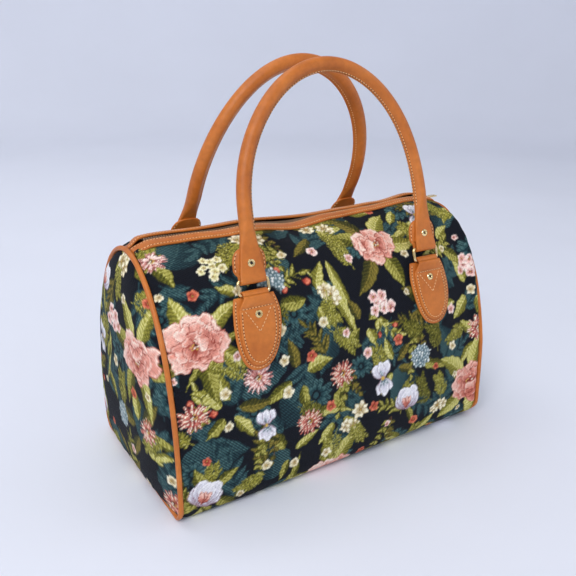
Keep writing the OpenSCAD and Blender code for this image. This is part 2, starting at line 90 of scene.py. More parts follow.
def eased(value, start, end):
    """0 up to start, 1 from end on, and a soft step between."""
    return smooth((value - start) / (end - start))


def bell(value, middle, width):
    return np.exp(-((value - middle) / width) ** 2)


def unit(vectors):
    return vectors / np.linalg.norm(vectors, axis=-1, keepdims=True)


def circle(sides):
    return np.linspace(0, FULL_TURN, sides, endpoint=False)


def along(points):
    """Running length along a polyline."""
    step = np.linalg.norm(np.diff(points, axis=0), axis=1)
    return np.concatenate([[0], np.cumsum(step)])


def waves(x, y, seed, size):
    """Gentle seeded undulation between about -1 and 1."""
    rng = np.random.default_rng(seed)
    total = 0
    for _ in range(WAVE_COUNT):
        a = rng.uniform(0, math.pi)
        k = FULL_TURN / (size * rng.uniform(0.7, 1.6))
        total = total + np.sin(k * (x * math.cos(a) + y * math.sin(a)) + rng.uniform(0, 6))
    return total / WAVE_COUNT * 1.6


def srgb(r, g, b):
    c = np.array([r, g, b]) / 255.0
    return np.where(c <= 0.04045, c / 12.92, ((c + 0.055) / 1.055) ** 2.4)


# Meshes, each a pair of points and faces

def grid_faces(rows, cols, wrap_rows=False, wrap_cols=False):
    i = np.arange(rows if wrap_rows else rows - 1)
    j = np.arange(cols if wrap_cols else cols - 1)
    i, j = np.meshgrid(i, j, indexing="ij")
    k, l = (i + 1) % rows, (j + 1) % cols
    return np.stack([i * cols + j, k * cols + j, k * cols + l, i * cols + l], -1).reshape(-1, 4)


def tube_mesh(rings, closed=False):
    """A skin through rings of equal count, capped unless the last ring joins the first."""
    rings = np.asarray(rings)
    n, m = rings.shape[:2]
    faces = [tuple(f) for f in grid_faces(n, m, wrap_rows=closed, wrap_cols=True)]
    if not closed:
        faces.append(tuple(reversed(range(m))))
        faces.append(tuple(range((n - 1) * m, n * m)))
    return rings.reshape(-1, 3), faces


def joined(meshes):
    points, faces, base = [], [], 0
    for p, f in meshes:
        points.append(np.asarray(p))
        faces += [tuple(int(v) + base for v in q) for q in f]
        base += len(p)
    return np.concatenate(points), faces


def flat_faces(outlines):
    return joined((outline, [tuple(range(len(outline)))]) for outline in outlines)


def turn_faces_out(mesh):
    """Faces of closed shapes point outwards. Open sheets keep the direction they were made with."""
    shape = bmesh.new()
    shape.from_mesh(mesh)
    if all(edge.is_manifold for edge in shape.edges):
        bmesh.ops.recalc_face_normals(shape, faces=shape.faces)
        shape.to_mesh(mesh)
    shape.free()


def make_piece(name, shape, material, flip=False):
    points, faces = shape
    order = -1 if flip else 1
    mesh = bpy.data.meshes.new(name)
    faces = [tuple(int(v) for v in f[::order]) for f in faces]
    mesh.from_pydata((np.asarray(points) * MM).tolist(), [], faces)
    mesh.polygons.foreach_set("use_smooth", np.ones(len(mesh.polygons), dtype=bool))
    mesh.materials.append(material)
    turn_faces_out(mesh)
    mesh.update()
    obj = bpy.data.objects.new(name, mesh)
    bpy.context.scene.collection.objects.link(obj)
    return obj


def declare(obj, slot, body, *nodes):
    """The solids that a piece stands for and the body it rides on. The slot is not used."""
    if nodes:
        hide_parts(*nodes)
    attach(obj, body)


def leather_piece(name, shape, body, node):
    declare(make_piece(name, shape, LEATHER), "leather", body, node)


# Stitching: a row of short threads, each a slim capsule sunk a little into the leather

STITCH_L, STITCH_GAP, STITCH_R, STITCH_LIFT = 2.0, 1.2, 0.48, 0.1
STITCH_SIDES, NEEDLE_SIDES, NEEDLE_R = 6, 8, 0.6
# Rings of a thread: place along it, thickness and rise, as shares of its length and radius
STITCH_RINGS = ((-0.5, 0.35, -0.5), (-0.38, 0.9, -0.05), (0, 1.0, 0.12), (0.38, 0.9, -0.05),
                (0.5, 0.35, -0.5))


def rims(centres, radius, sides, a, b):
    """Circles round places, each in the plane of its two directions."""
    turn = circle(sides)[None, :, None]
    return centres[:, None] + radius * (np.cos(turn) * a[:, None] + np.sin(turn) * b[:, None])


def stitch_row(route, normals):
    """Threads along a route on a surface, and dark discs between them for the needle holes, their darkness
    painted shade.
    """
    run = along(route)
    count = max(int(run[-1] // (STITCH_L + STITCH_GAP)), 1)
    pitch = run[-1] / count
    length = STITCH_L * pitch / (STITCH_L + STITCH_GAP)

    def at(s):
        s = np.clip(s, 0, run[-1])
        p, n = (np.stack([np.interp(s, run, row) for row in table.T], -1) for table in (route, normals))
        return p, unit(n)

    middle = (np.arange(count) + 0.5) * pitch
    ahead = unit(at(middle + 0.1)[0] - at(middle - 0.1)[0])
    rings = []
    for share, thick, rise in STITCH_RINGS:
        p, n = at(middle + share * length)
        side = unit(np.cross(ahead, n))
        rings.append(rims(p + n * (STITCH_LIFT + rise * STITCH_R), STITCH_R * thick, STITCH_SIDES, side, n))
    threads = joined(tube_mesh(thread) for thread in np.stack(rings, 1))
    p, n = at(np.arange(1, count) * pitch)
    ahead = ahead[1:]
    # Painted shade: a dark disc at each needle hole.
    holes = rims(p + n * 0.7 * STITCH_LIFT, NEEDLE_R, NEEDLE_SIDES, np.cross(ahead, n), ahead)
    return threads, flat_faces(holes)


def sew(name, rows, body):
    for part, suffix, material in ((0, "", THREAD), (1, "_holes", NEEDLE_SHADE)):
        declare(make_piece(name + suffix, joined(row[part] for row in rows), material), "leather", body)


# Materials

class Shader:
    """A material's nodes, with short ways to add and link them."""

    def __init__(self, name):
        self.material = bpy.data.materials.new(name)
        self.material.use_nodes = True
        self.tree = self.material.node_tree

    def feed(self, node, inputs):
        """Numbers, colours or other nodes' outputs into a node's sockets."""
        for key, value in inputs.items():
            if isinstance(value, bpy.types.NodeSocket):
                self.tree.links.new(value, node.inputs[key])
            else:
                node.inputs[key].default_value = (*value, 1.0) if np.ndim(value) else value

    def add(self, kind, inputs, **settings):
        node = self.tree.nodes.new(kind)
        for key, value in settings.items():
            setattr(node, key, value)
        self.feed(node, inputs)
        return node

    def place(self):
        return self.add("ShaderNodeTexCoord", {}).outputs["Object"]

    def attribute(self, name, output):
        return self.add("ShaderNodeAttribute", {}, attribute_name=name).outputs[output]

    def math(self, operation, *values):
        return self.add("ShaderNodeMath", dict(enumerate(values)), operation=operation).outputs[0]

    def mix(self, mode, factor, a, b):
        """Colour b over colour a. Sockets 6 and 7 are a mix node's colours."""
        node = self.add("ShaderNodeMix", {0: factor, 6: a, 7: b}, data_type="RGBA", blend_type=mode)
        return node.outputs[2]

    def noise(self, place, scale, detail=3.0):
        inputs = {"Scale": scale, "Detail": detail, "Roughness": 0.55, "Vector": place}
        return self.add("ShaderNodeTexNoise", inputs).outputs["Fac"]

    def wave(self, place, scale, distortion=0.0):
        inputs = {"Scale": scale, "Distortion": distortion, "Vector": place}
        return self.add("ShaderNodeTexWave", inputs).outputs["Fac"]

    def ramp(self, value, *stops):
        """Colours or greys by value."""
        node = self.add("ShaderNodeValToRGB", {0: value})
        elements = node.color_ramp.elements
        while len(elements) < len(stops):
            elements.new(0.5)
        for element, (place, colour) in zip(elements, stops):
            element.position = place
            element.color = (*np.broadcast_to(colour, 3), 1.0)
        return node.outputs[0]

    def bump(self, height, distance, strength):
        inputs = {"Strength": strength, "Distance": distance, "Height": height}
        return self.add("ShaderNodeBump", inputs).outputs["Normal"]

    def surface(self, inputs):
        self.feed(self.tree.nodes["Principled BSDF"], inputs)
        return self.material


WEFT_PITCH, WARP_PITCH, TWILL_PITCH = 1.15, 1.3, 2.6
HATCH_PITCH, HATCH_DEPTH = 3.1, 0.72


def tapestry_material():
    """Woven cloth: the picture's colours come with the mesh, the threads and hatching from here."""
    m = Shader("tapestry")
    place = m.add("ShaderNodeUVMap", {}, uv_map="cloth").outputs["UV"]
    across, down = m.add("ShaderNodeSeparateXYZ", {0: place}).outputs[:2]
    slant = m.math("ADD", across, down)

    def thread(value, pitch):
        return m.math("SINE", m.math("MULTIPLY", value, FULL_TURN / (pitch * MM)))

    fibre = m.math("MULTIPLY", m.noise(place, 900.0, 2.0), 0.9)
    twill = m.math("MULTIPLY_ADD", thread(slant, TWILL_PITCH), 0.25, fibre)
    rib = m.math("MULTIPLY", thread(down, WEFT_PITCH), thread(across, WARP_PITCH))
    height = m.math("MULTIPLY_ADD", rib, 0.5, twill)
    stripes = m.math("GREATER_THAN", thread(slant, HATCH_PITCH), 0.2)
    lines = m.math("MULTIPLY", m.math("MULTIPLY", stripes, m.attribute("hatch", "Fac")), HATCH_DEPTH)
    colour = m.mix("MIX", lines, m.attribute("picture", "Color"), srgb(21, 26, 36))
    shade = m.ramp(m.math("MULTIPLY_ADD", height, 0.35, 0.42), (0.0, 0.62), (0.55, 1.0), (1.0, 1.22))
    return m.surface({"Base Color": m.mix("MULTIPLY", 0.75, colour, shade), "Roughness": 0.82,
                      "Specular IOR Level": 0.12, "Sheen Weight": 0.02,
                      "Normal": m.bump(height, 0.00035, 0.7)})


def leather_material():
    """Smooth tan leather with fine grain and soft mottling, painted shade in its hollows and a little lighter
    on its ridges.
    """
    m = Shader("leather")
    place = m.place()
    cloudy = m.noise(place, 28.0, 4.0)
    colour = m.ramp(cloudy, (0.25, srgb(172, 92, 31)), (0.5, srgb(192, 108, 39)), (0.78, srgb(206, 122, 50)))
    colour = m.mix("MULTIPLY", 1.0, colour, m.ramp(m.noise(place, 190.0), (0.3, 0.9), (0.7, 1.06)))
    # Painted shade: darker where the surface is hollow, by its pointiness; ridges a little lighter.
    edge = m.add("ShaderNodeNewGeometry", {}).outputs["Pointiness"]
    colour = m.mix("MULTIPLY", 0.6, colour, m.ramp(edge, (0.4, 0.62), (0.5, 1.0), (0.6, 1.1)))
    cells = m.add("ShaderNodeTexVoronoi", {}, feature="DISTANCE_TO_EDGE")
    m.feed(cells, {"Scale": 1100.0, "Vector": place})
    grain = m.ramp(cells.outputs["Distance"], (0.0, 0.0), (0.18, 1.0))
    height = m.math("MULTIPLY_ADD", grain, 0.35, m.noise(place, 420.0, 4.0))
    return m.surface({"Base Color": colour, "Normal": m.bump(height, 0.00018, 0.55),
                      "Roughness": m.ramp(cloudy, (0.3, 0.5), (0.7, 0.4)), "Specular IOR Level": 0.4})


def thread_material():
    m = Shader("thread")
    place = m.place()
    colour = m.ramp(m.noise(place, 600.0), (0.3, srgb(212, 160, 104)), (0.7, srgb(238, 196, 144)))
    twist = m.bump(m.wave(place, 900.0), 0.0001, 0.6)
    return m.surface({"Base Color": colour, "Normal": twist, "Roughness": 0.7})


def brass_material():
    m = Shader("brass")
    place = m.place()
    tone = m.noise(place, 160.0, 4.0)
    return m.surface({"Base Color": m.ramp(tone, (0.3, srgb(226, 194, 128)), (0.7, srgb(250, 230, 178))),
                      "Roughness": m.ramp(tone, (0.3, 0.3), (0.7, 0.16)), "Metallic": 1.0,
                      "Normal": m.bump(m.noise(place, 1500.0, 2.0), 0.00003, 0.4)})


def ribbed_material(name, low, high, scale):
    m = Shader(name)
    place = m.place()
    ribs = m.wave(place, scale, 0.6)
    mottle = m.ramp(m.noise(place, 300.0), (0.3, 0.7), (0.7, 1.1))
    colour = m.mix("MULTIPLY", 0.5, m.ramp(ribs, (0.2, srgb(*low)), (0.8, srgb(*high))), mottle)
    return m.surface({"Base Color": colour, "Normal": m.bump(ribs, 0.0003, 0.6), "Roughness": 0.6})


TAPESTRY = tapestry_material()
LEATHER = leather_material()
THREAD = thread_material()
BRASS = brass_material()
# Painted shade: the dark colour of the discs inside the eyelets' holes.
HOLE_SHADE = ribbed_material("hole", (22, 13, 8), (40, 24, 14), 200.0)
# Painted shade: the dark colour of the discs at the needle holes.
NEEDLE_SHADE = ribbed_material("needle_hole_shade", (62, 28, 10), (86, 40, 16), 300.0)
ZIP_TAPE = ribbed_material("zip_tape", (40, 28, 20), (70, 50, 34), 320.0)
ZIP_TEETH = ribbed_material("zip_teeth", (96, 74, 54), (142, 114, 86), 250.0)
BOARD = ribbed_material("board", (92, 84, 76), (120, 110, 100), 60.0)


# The woven picture: an own mixed-flower design of leaves, sprays and blooms over a dark ground.
# Each palette is a dark, a middle and a light tone.

GROUND = srgb(18, 21, 29)
TEALS = (srgb(24, 46, 52), srgb(46, 78, 82), srgb(80, 114, 112))
OLIVES = (srgb(54, 56, 22), srgb(124, 120, 42), srgb(208, 200, 112))
LIMES = (srgb(86, 84, 30), srgb(168, 162, 68), srgb(238, 232, 160))
MOSSES = (srgb(42, 46, 24), srgb(92, 86, 34), srgb(158, 138, 62))
SALMONS = (srgb(130, 46, 38), srgb(214, 128, 110), srgb(246, 208, 190))
BLUSHES = (srgb(150, 60, 48), srgb(228, 154, 136), srgb(252, 228, 212))
LILACS = (srgb(150, 116, 128), srgb(208, 206, 216), srgb(244, 242, 244))
CREAMS = (srgb(140, 112, 62), srgb(216, 198, 148), srgb(248, 242, 216))
CORALS = (srgb(132, 40, 46), SALMONS[1], CREAMS[2])
PRIMROSES = (CREAMS[0], LIMES[2], CREAMS[2])
BLOSSOMS = (srgb(128, 40, 44), srgb(234, 172, 160), srgb(252, 236, 226))
BERRIES = (srgb(104, 28, 30), srgb(178, 66, 52), srgb(226, 132, 100))
ICES = (srgb(92, 116, 122), srgb(186, 200, 202), srgb(242, 246, 240))
STEM_BROWN = srgb(112, 78, 48)
YELLOW = srgb(214, 176, 84)
SOFT_EDGE = 0.75
WOBBLE, WOBBLE_SIZE = 0.7, 9
CELL = 12.0
LIGHT_FROM = 2.2
GOLDEN_TURN = 2.4
CURVE_STEPS, FLORETS = 25, 46
TRIES = 40


def covered(inside):
    """Cover at a distance inside a shape's edge, soft over less than a thread."""
    return inside / SOFT_EDGE + 0.5


def polar(at, reach, angle, squash=1.0):
    """A place at a distance and angle from another, on a circle squashed in height."""
    return at[0] + reach * math.cos(angle), at[1] + reach * squash * math.sin(angle)


def tone(palette, value):
    """Dark, middle and light of a palette, blended by a value from 0 to 1."""
    value = np.clip(value, 0, 1)[:, None]
    low = palette[0] * (1 - 2 * value) + palette[1] * 2 * value
    high = palette[1] * (2 - 2 * value) + palette[2] * (2 * value - 1)
    return np.where(value < 0.5, low, high)


def curve(at, angle, length, curl):
    """Points and directions of a curling stem."""
    turn = angle + curl * (np.linspace(0, 1, CURVE_STEPS + 1) - 0.3)
    step = length / CURVE_STEPS
    across, up = (np.cumsum(way(turn)) * step for way in (np.cos, np.sin))
    return np.stack([at[0] + across, at[1] + up], -1), turn


class Picture:
    """Colours for scattered points of cloth, painted shape by shape. Sizes are millimetres on the cloth."""

    def __init__(self, x, y, seed):
        x, y = np.ravel(x), np.ravel(y)
        self.x = x + WOBBLE * waves(x, y, seed + 1, WOBBLE_SIZE)
        self.y = y + WOBBLE * waves(x, y, seed + 2, WOBBLE_SIZE)
        self.colour = np.tile(GROUND, (len(x), 1))
        self.hatch = np.zeros(len(x))
        self.random = np.random.default_rng(seed)
        keys = np.floor(np.column_stack([self.x, self.y]) / CELL).astype(int)
        order = np.lexsort((keys[:, 1], keys[:, 0]))
        cuts = np.flatnonzero(np.any(np.diff(keys[order], axis=0), axis=1)) + 1
        self.bins = {tuple(keys[group[0]]): group for group in np.split(order, cuts)}

    def local(self, at, angle, reach):
        """Points near a place, and their distance along and across a direction."""
        low = np.floor((np.array(at) - reach) / CELL).astype(int)
        high = np.floor((np.array(at) + reach) / CELL).astype(int)
        cells = [(i, j) for i in range(low[0], high[0] + 1) for j in range(low[1], high[1] + 1)]
        groups = [self.bins[cell] for cell in cells if cell in self.bins]
        near = np.concatenate([np.zeros(0, dtype=int)] + groups)
        dx, dy = self.x[near] - at[0], self.y[near] - at[1]
        c, s = math.cos(angle), math.sin(angle)
        return near, dx * c + dy * s, dy * c - dx * s

    def lay(self, near, cover, colour, hatch=0.0):
        cover = np.clip(cover, 0, 1)
        self.hatch[near] = self.hatch[near] * (1 - cover) + hatch * cover
        cover = cover[:, None]
        self.colour[near] = self.colour[near] * (1 - cover) + colour * cover

    def dot(self, at, radius, colour, hatch=0.0):
        near, a, b = self.local(at, 0, radius + 1.5)
        self.lay(near, covered(radius - np.hypot(a, b)), colour, hatch)

    def plain(self, at, half_w, half_h):
        """Painted shade: a patch darker than the ground, where a ring casts its shadow on the cloth behind
        it.
        """
        near, a, b = self.local(at, 0, max(half_w, half_h) + 1)
        self.lay(near, 5 * (1 - np.hypot(a / half_w, b / half_h)), 0.8 * GROUND)

    def speckle(self, at, count, spread, colours, squash=1.0):
        """Dots in a spiral, as in a flower's heart."""
        for k in range(count):
            self.dot(polar(at, spread * math.sqrt(k), GOLDEN_TURN * k, squash), 0.8, colours[k % 3])

    def stem(self, points, width, colour, hatch=0.0):
        points = np.asarray(points)
        run = along(points)
        for s in np.arange(0, run[-1], 0.9):
            self.dot([np.interp(s, run, row) for row in points.T], width / 2, colour, hatch)

    def leaf(self, at, angle, length, width, palette, bend=0.0, hatch=0.0):
        """A leaf with one side in the light, slanting strokes for veins and a pale middle line."""
        near, s, t = self.local(at, angle, length * 1.1 + 2)
        s = s / length
        t = t - bend * length * s * (1 - s)
        half = width / 2 * np.sin(math.pi * np.clip(s, 0, 1) ** 0.75) ** 0.85
        inside = half * (1 + 0.06 * np.sin(s * length / 1.9)) - np.abs(t)
        lit = np.sign(self.random.uniform(-1, 1))
        veins = max(length / 4.2, 3)
        stroke = np.cos(FULL_TURN * (veins * s - 0.28 * veins * np.abs(t) / max(width, 1)))
        grain = np.sin(s * length * 1.7 + t * 0.9) * np.sin(t * 2.9 + 4 * s)
        value = 0.4 + 0.3 * lit * np.tanh(t / (0.18 * width)) + 0.2 * np.clip(stroke, -0.4, 1) + 0.14 * grain
        value += 0.35 * (np.abs(t) < 0.5) * (width > 5) - 0.3 * (inside < 0.8)
        self.lay(near, covered(inside) * (s > -0.02) * (s < 1.02), tone(palette, value), hatch)

    def petal(self, at, angle, length, width, palette, shade=0.0, hatch=0.0):
        """A petal, darkest at its foot, with fine streaks, a pale rim and a dark line at its edge."""
        near, s, t = self.local(at, angle, max(length, width) * 1.15 + 1)
        s = s / length
        half = width / 2 * np.sqrt(np.clip(np.sin(math.pi * np.clip(s, 0, 1) ** 1.25), 0, 1))
        half = half * (1 + 0.07 * np.sin(9 * s + 3 * np.sign(t)))
        inside = np.minimum(half - np.abs(t), (1 - s) * length)
        streak = np.cos(t * 2.6 + 1.5 * s) * (0.5 + 0.5 * np.cos(s * length * 0.5 + t))
        value = 0.1 + 0.62 * s + 0.13 * streak + shade
        if length > 7:
            value -= 0.42 * (inside < 0.9) * (s < 0.93)
            value += 0.24 * (inside > 0.9) * (inside < 2.6) * (s > 0.5)
        self.lay(near, covered(inside) * (s > 0), tone(palette, value), hatch)

    def broad_petal(self, at, angle, length, width, palette, shade):
        """A floppy petal with a notched tip, deep colour at its foot and a pale edge."""
        near, s, t = self.local(at, angle, max(length, width) * 1.2 + 1)
        s = s / length
        phase, skew = self.random.uniform(0, 6), self.random.uniform(-0.2, 0.2)
        u, up = 2 * t / width, np.clip(s, 0, 1)
        half = np.clip(np.sin(math.pi * up ** 1.5), 0, 1) ** 0.45
        tip = 1 - 0.07 * (1 + np.cos(4.2 * u + phase)) - 0.05 * np.abs(np.sin(7 * u + 2 * phase))
        tip -= 0.12 * u * u
        inside = np.minimum((half - np.abs(u + skew * s)) * width / 2, (tip - s) * length)
        streak = np.cos(9 * u / (0.5 + up) + phase) * (0.4 + 0.6 * np.sin(2.2 * up * length / 4 + 3 * u))
        value = 0.06 + 0.6 * up ** 0.8 + 0.14 * streak + shade + 0.12 * np.sin(2.2 * u + phase)
        value += 0.2 * (inside < 2.6) * (s > 0.4) - 0.7 * np.clip(1.2 - inside, 0, 1) * (s < 0.92)
        self.lay(near, covered(inside) * (s > 0), tone(palette, value))

    def petals_round(self, at, radius, count, start, length, width, palette, turn, squash, shade, hatch=0.0):
        """A ring of petals, with their start, length and width as shares of the bloom's radius."""
        for k in range(count):
            a = turn + FULL_TURN * k / count + self.random.normal(0, 0.09)
            tilt = math.atan2(squash * math.sin(a), math.cos(a))
            reach = length * radius * math.hypot(math.cos(a), squash * math.sin(a))
            reach *= self.random.uniform(0.9, 1.1)
            tint = shade + self.random.uniform(-0.13, 0.13)
            broad = width * radius * self.random.uniform(0.88, 1.12)
            self.petal(polar(at, start * radius, a, squash), tilt, reach, broad, palette, tint, hatch)

    def peony(self, at, radius, palette, turn, squash):
        """A full bloom seen from one side: loose outer petals, a deep heart, and a cup folded over it."""
        random = self.random
        axis = np.array([math.cos(turn), squash * math.sin(turn)])
        at = np.array(at)
        for count, start, length, width, shade in ((6, 0.14, 0.9, 0.86, 0.12), (6, 0.12, 0.68, 0.72, 0.02),
                                                   (5, 0.06, 0.48, 0.56, -0.12)):
            middle = at + axis * radius * 0.3 * (0.14 - start)
            first = random.uniform(0, 6)
            for k in random.permutation(count):
                a = first + FULL_TURN * k / count + random.normal(0, 0.16)
                way = np.array([math.cos(a), squash * math.sin(a)])
                light = 0.12 * math.cos(a - LIGHT_FROM)
                reach = radius * length * np.hypot(*way) * random.uniform(0.85, 1.15)
                self.broad_petal(middle + way * start * radius, math.atan2(way[1], way[0]), reach,
                                 radius * width * random.uniform(0.85, 1.15), palette, shade + light)
        self.speckle(at + axis * 0.1 * radius, 13, 0.05 * radius, (palette[0], YELLOW, CREAMS[2]), squash)
        for lean, length, shade in ((-0.75, 0.42, 0.06), (0.75, 0.42, 0.0), (0.0, 0.44, 0.2)):
            way = math.atan2(axis[1], axis[0]) + lean
            self.broad_petal(at - axis * 0.4 * radius, way, radius * length, radius * 0.62, palette, shade)

    def blossom(self, at, radius, palette, count=5):
        turn = self.random.uniform(0, 2)
        self.dot(at, 0.8 * radius, palette[0])
        self.petals_round(at, radius, count, 0.1, 0.95, 4.3 / count, palette, turn, 1.0, 0.3)
        self.dot(at, 0.22 * radius, palette[0])
        for k in range(count):
            self.dot(polar(at, 0.4 * radius, turn + FULL_TURN * k / count), 0.5, palette[0])
        self.dot(at, 0.1 * radius, YELLOW)

    def aster(self, at, radius, palette):
        """Thin loose petals with dark between them, in two rows round a speckled heart."""
        turn = self.random.uniform(0, 1)
        self.dot(at, 0.62 * radius, palette[0])
        self.petals_round(at, radius, 19, 0.2, 0.84, 0.19, palette, turn, 0.92, 0.12)
        self.petals_round(at, radius, 15, 0.14, 0.56, 0.17, palette, turn + 0.2, 0.92, 0.36)
        self.speckle(at, 12, 0.072 * radius, (MOSSES[0], CREAMS[2], YELLOW))

    def tulip(self, at, angle, size):
        """A nodding cup of broad pale petals, rosy at its foot."""
        for lean, length, shade in ((-0.62, 0.8, -0.05), (0.6, 0.8, -0.1), (-0.3, 0.98, 0.2),
                                    (0.32, 0.96, 0.1), (0, 0.88, 0.3)):
            self.petal(at, angle + lean, size * length, size * 0.6, LILACS, shade)
        for lean in (-0.35, 0.05, 0.4):
            self.petal(polar(at, 1.5, angle), angle + lean, size * 0.5, size * 0.2, SALMONS, 0.1)

    def iris(self, at, angle, size):
        """Three hanging petals with blue veins, three upright ones and a yellow throat."""
        for lean, length, width in ((2.6, 0.9, 0.5), (-2.6, 0.9, 0.5), (3.14, 1.0, 0.62), (0.5, 0.95, 0.6),
                                    (-0.5, 0.95, 0.6), (0, 0.9, 0.5)):
            self.petal(at, angle + lean, size * length, size * width, LILACS, 0.22)
        for lean in (2.6, -2.6, 3.14, 0.2):
            self.petal(at, angle + lean, size * 0.5, size * 0.12, ICES, 0.0)
        self.dot(at, 0.1 * size, YELLOW)

    def cluster(self, at, spread, count, radius, palette):
        for k in range(count):
            a, r = GOLDEN_TURN * k + self.random.uniform(0, 0.5), spread * math.sqrt((k + 0.3) / count)
            self.blossom(polar(at, r, a, 0.8), radius * self.random.uniform(0.75, 1.1), palette)

    def globe(self, at, radius, palette):
        """A round head of many tiny florets."""
        self.dot(at, 0.9 * radius, palette[0])
        for k in range(FLORETS):
            place = polar(at, radius * math.sqrt((k + 0.5) / FLORETS), GOLDEN_TURN * k, 0.92)
            self.dot(place, self.random.uniform(0.9, 1.5), palette[1] if k % 3 else palette[2])

    def spray(self, at, angle, length, leaf_l, leaf_w, palette, curl, pairs, hatch=0.0, buds=None, stem=None):
        """A curved stem with leaves on both sides and one at its tip, or buds."""
        points, turn = curve(at, angle, length, curl)
        self.stem(points, 0.9, palette[1] if stem is None else stem, hatch)
        for k in range(pairs):
            share = (k + 0.7) / (pairs + 0.4)
            i = int(share * CURVE_STEPS)
            size = leaf_l * (1.05 - 0.4 * share) * self.random.uniform(0.85, 1.15)
            for side in (-1, 1):
                lean = turn[i] + side * self.random.uniform(0.6, 1.0)
                if buds is not None and (k + side) % 3 == 0:
                    tip = polar(points[i], 0.6 * leaf_l, lean)
                    self.stem([points[i], tip], 0.8, palette[1])
                    self.petal(tip, lean, 0.55 * leaf_l, 0.4 * leaf_l, buds, 0.2)
                else:
                    self.leaf(points[i], lean, size, leaf_w * size / leaf_l, palette, -side * 0.25, hatch)
        self.leaf(points[-1], turn[-1], leaf_l * 0.8, leaf_w * 0.8, palette, 0.1, hatch)

    def sprig(self, at, angle, length, palette, curl=0.6):
        """A feathery twig: side twigs set with many tiny leaves."""
        points, turn = curve(at, angle, length, curl)
        self.stem(points, 0.8, palette[1])
        for k in range(4, CURVE_STEPS, 4):
            for side in (-1, 1):
                lean = turn[k] + side * self.random.uniform(0.5, 0.9)
                self.spray(points[k], lean, length * (0.42 - 0.008 * k), 5.2, 2.4, palette, -side * 0.5, 4)

    def vine(self, at, angle, length, curl):
        """A hanging brown stem with round leaves."""
        self.spray(at, angle, length, 9.5, 8.2, OLIVES, curl, 6, stem=STEM_BROWN)
        self.spray(at, angle + 0.55, length * 0.7, 8.5, 7.4, MOSSES, -curl, 4, stem=STEM_BROWN)

    def leaf_fan(self, at, size, count, turn):
        """Broad leaves round a place, as behind a large bloom."""
        for k in range(count):
            a = turn + FULL_TURN * k / count + self.random.uniform(-0.25, 0.25)
            palette = (LIMES, LIMES, OLIVES, MOSSES)[int(self.random.integers(4))]
            self.leaf(polar(at, 0.3 * size, a), a + self.random.uniform(-0.3, 0.3),
                      size * self.random.uniform(0.8, 1.2), size * self.random.uniform(0.36, 0.5), palette,
                      self.random.uniform(-0.35, 0.35))

    def shadow_bloom(self, at, radius):
        """A tone-on-tone rosette in teal with a hatched rim."""
        turn = self.random.uniform(0, 1)
        self.petals_round(at, radius, 13, 0.34, 0.66, 0.34, TEALS, turn, 0.85, 0.05, 0.75)
        self.petals_round(at, radius, 11, 0.22, 0.5, 0.3, TEALS, turn + 0.3, 0.85, 0.1)
        self.dot(at, 0.26 * radius, GROUND)
        self.dot(at, 0.16 * radius, TEALS[1])

    def place(self, low, high, count, apart, taken=()):
        """Places well apart from each other and from those taken, each the best of several tries."""
        made = []
        for _ in range(int(count)):
            tries = self.random.uniform(low, high, (TRIES, 2))
            others = np.array([*taken, *made]).reshape(-1, 2)
            gap = np.linalg.norm(tries[:, None] - others, axis=-1).min(1, initial=np.inf)
            if gap.max() > apart:
                made.append(tuple(tries[gap.argmax()]))
        return made

    def teal_layer(self, low, high, area):
        draw = self.random.uniform
        for at in self.place(low, high, 1.8 * area, 17):
            self.leaf(at, draw(0, FULL_TURN), draw(46, 70), draw(28, 42), TEALS, draw(-0.4, 0.4), 1.0)
        for at in self.place(low, high, 2.9 * area, 12):
            self.spray(at, draw(0, FULL_TURN), draw(34, 56), draw(17, 26), draw(8, 13), TEALS,
                       draw(-1.2, 1.2), 5, 0.7)
        for at in self.place(low, high, 1.4 * area, 24):
            self.shadow_bloom(at, draw(15, 21))

    def green_layer(self, low, high, area, big):
        draw = self.random.uniform
        for at in self.place(low, high, 1.1 * area, 22):
            self.leaf(at, draw(0, FULL_TURN), draw(56, 88), draw(8, 13),
                      OLIVES if draw(0, 1) < 0.6 else LIMES, draw(-0.5, 0.5))
        for at in self.place(low, high, 1.9 * area, 15, big):
            self.leaf_fan(at, draw(24, 37), int(draw(3, 6)), draw(0, 6))
        for at in self.place(low, high, 1.2 * area, 18, big):
            self.spray(at, draw(0, FULL_TURN), draw(34, 56), draw(13, 19), draw(6, 9),
                       (OLIVES, LIMES, MOSSES)[int(draw(0, 3))], draw(-1.5, 1.5), 5, 0.0,
                       BERRIES if draw(0, 1) < 0.4 else None)
        for at in self.place(low, high, 0.7 * area, 32, big):
            self.vine(at, draw(-2.2, -0.9), draw(46, 66), draw(-0.8, 0.8))
        for at in big:
            self.leaf_fan(at, draw(38, 48), 6, draw(0, 6))

    def small_bloom(self, at, kind):
        draw = self.random.uniform
        if kind == 0:
            self.cluster(at, 14, 7, 6.6, BLOSSOMS)
        elif kind == 1:
            self.leaf((at[0], at[1] - 8), -1.2, 34, 9, OLIVES, 0.25)
            self.tulip((at[0], at[1] - 12), draw(1.0, 2.1), draw(27, 33))
        elif kind in (2, 6):
            self.aster(at, draw(13, 16), BLOSSOMS if draw(0, 1) < 0.6 else CORALS)
        elif kind in (3, 7):
            for _ in range(3):
                self.blossom((at[0] + draw(-13, 13), at[1] + draw(-11, 11)), draw(7.5, 10), CREAMS, 7)
            self.sprig(at, draw(0, FULL_TURN), 30, LIMES)
        elif kind == 4:
            self.cluster(at, 15, 9, 4.6, PRIMROSES)
        elif kind == 5:
            self.iris(at, draw(1.2, 1.9), draw(17, 21))
        else:
            self.globe(at, draw(12, 15), ICES)

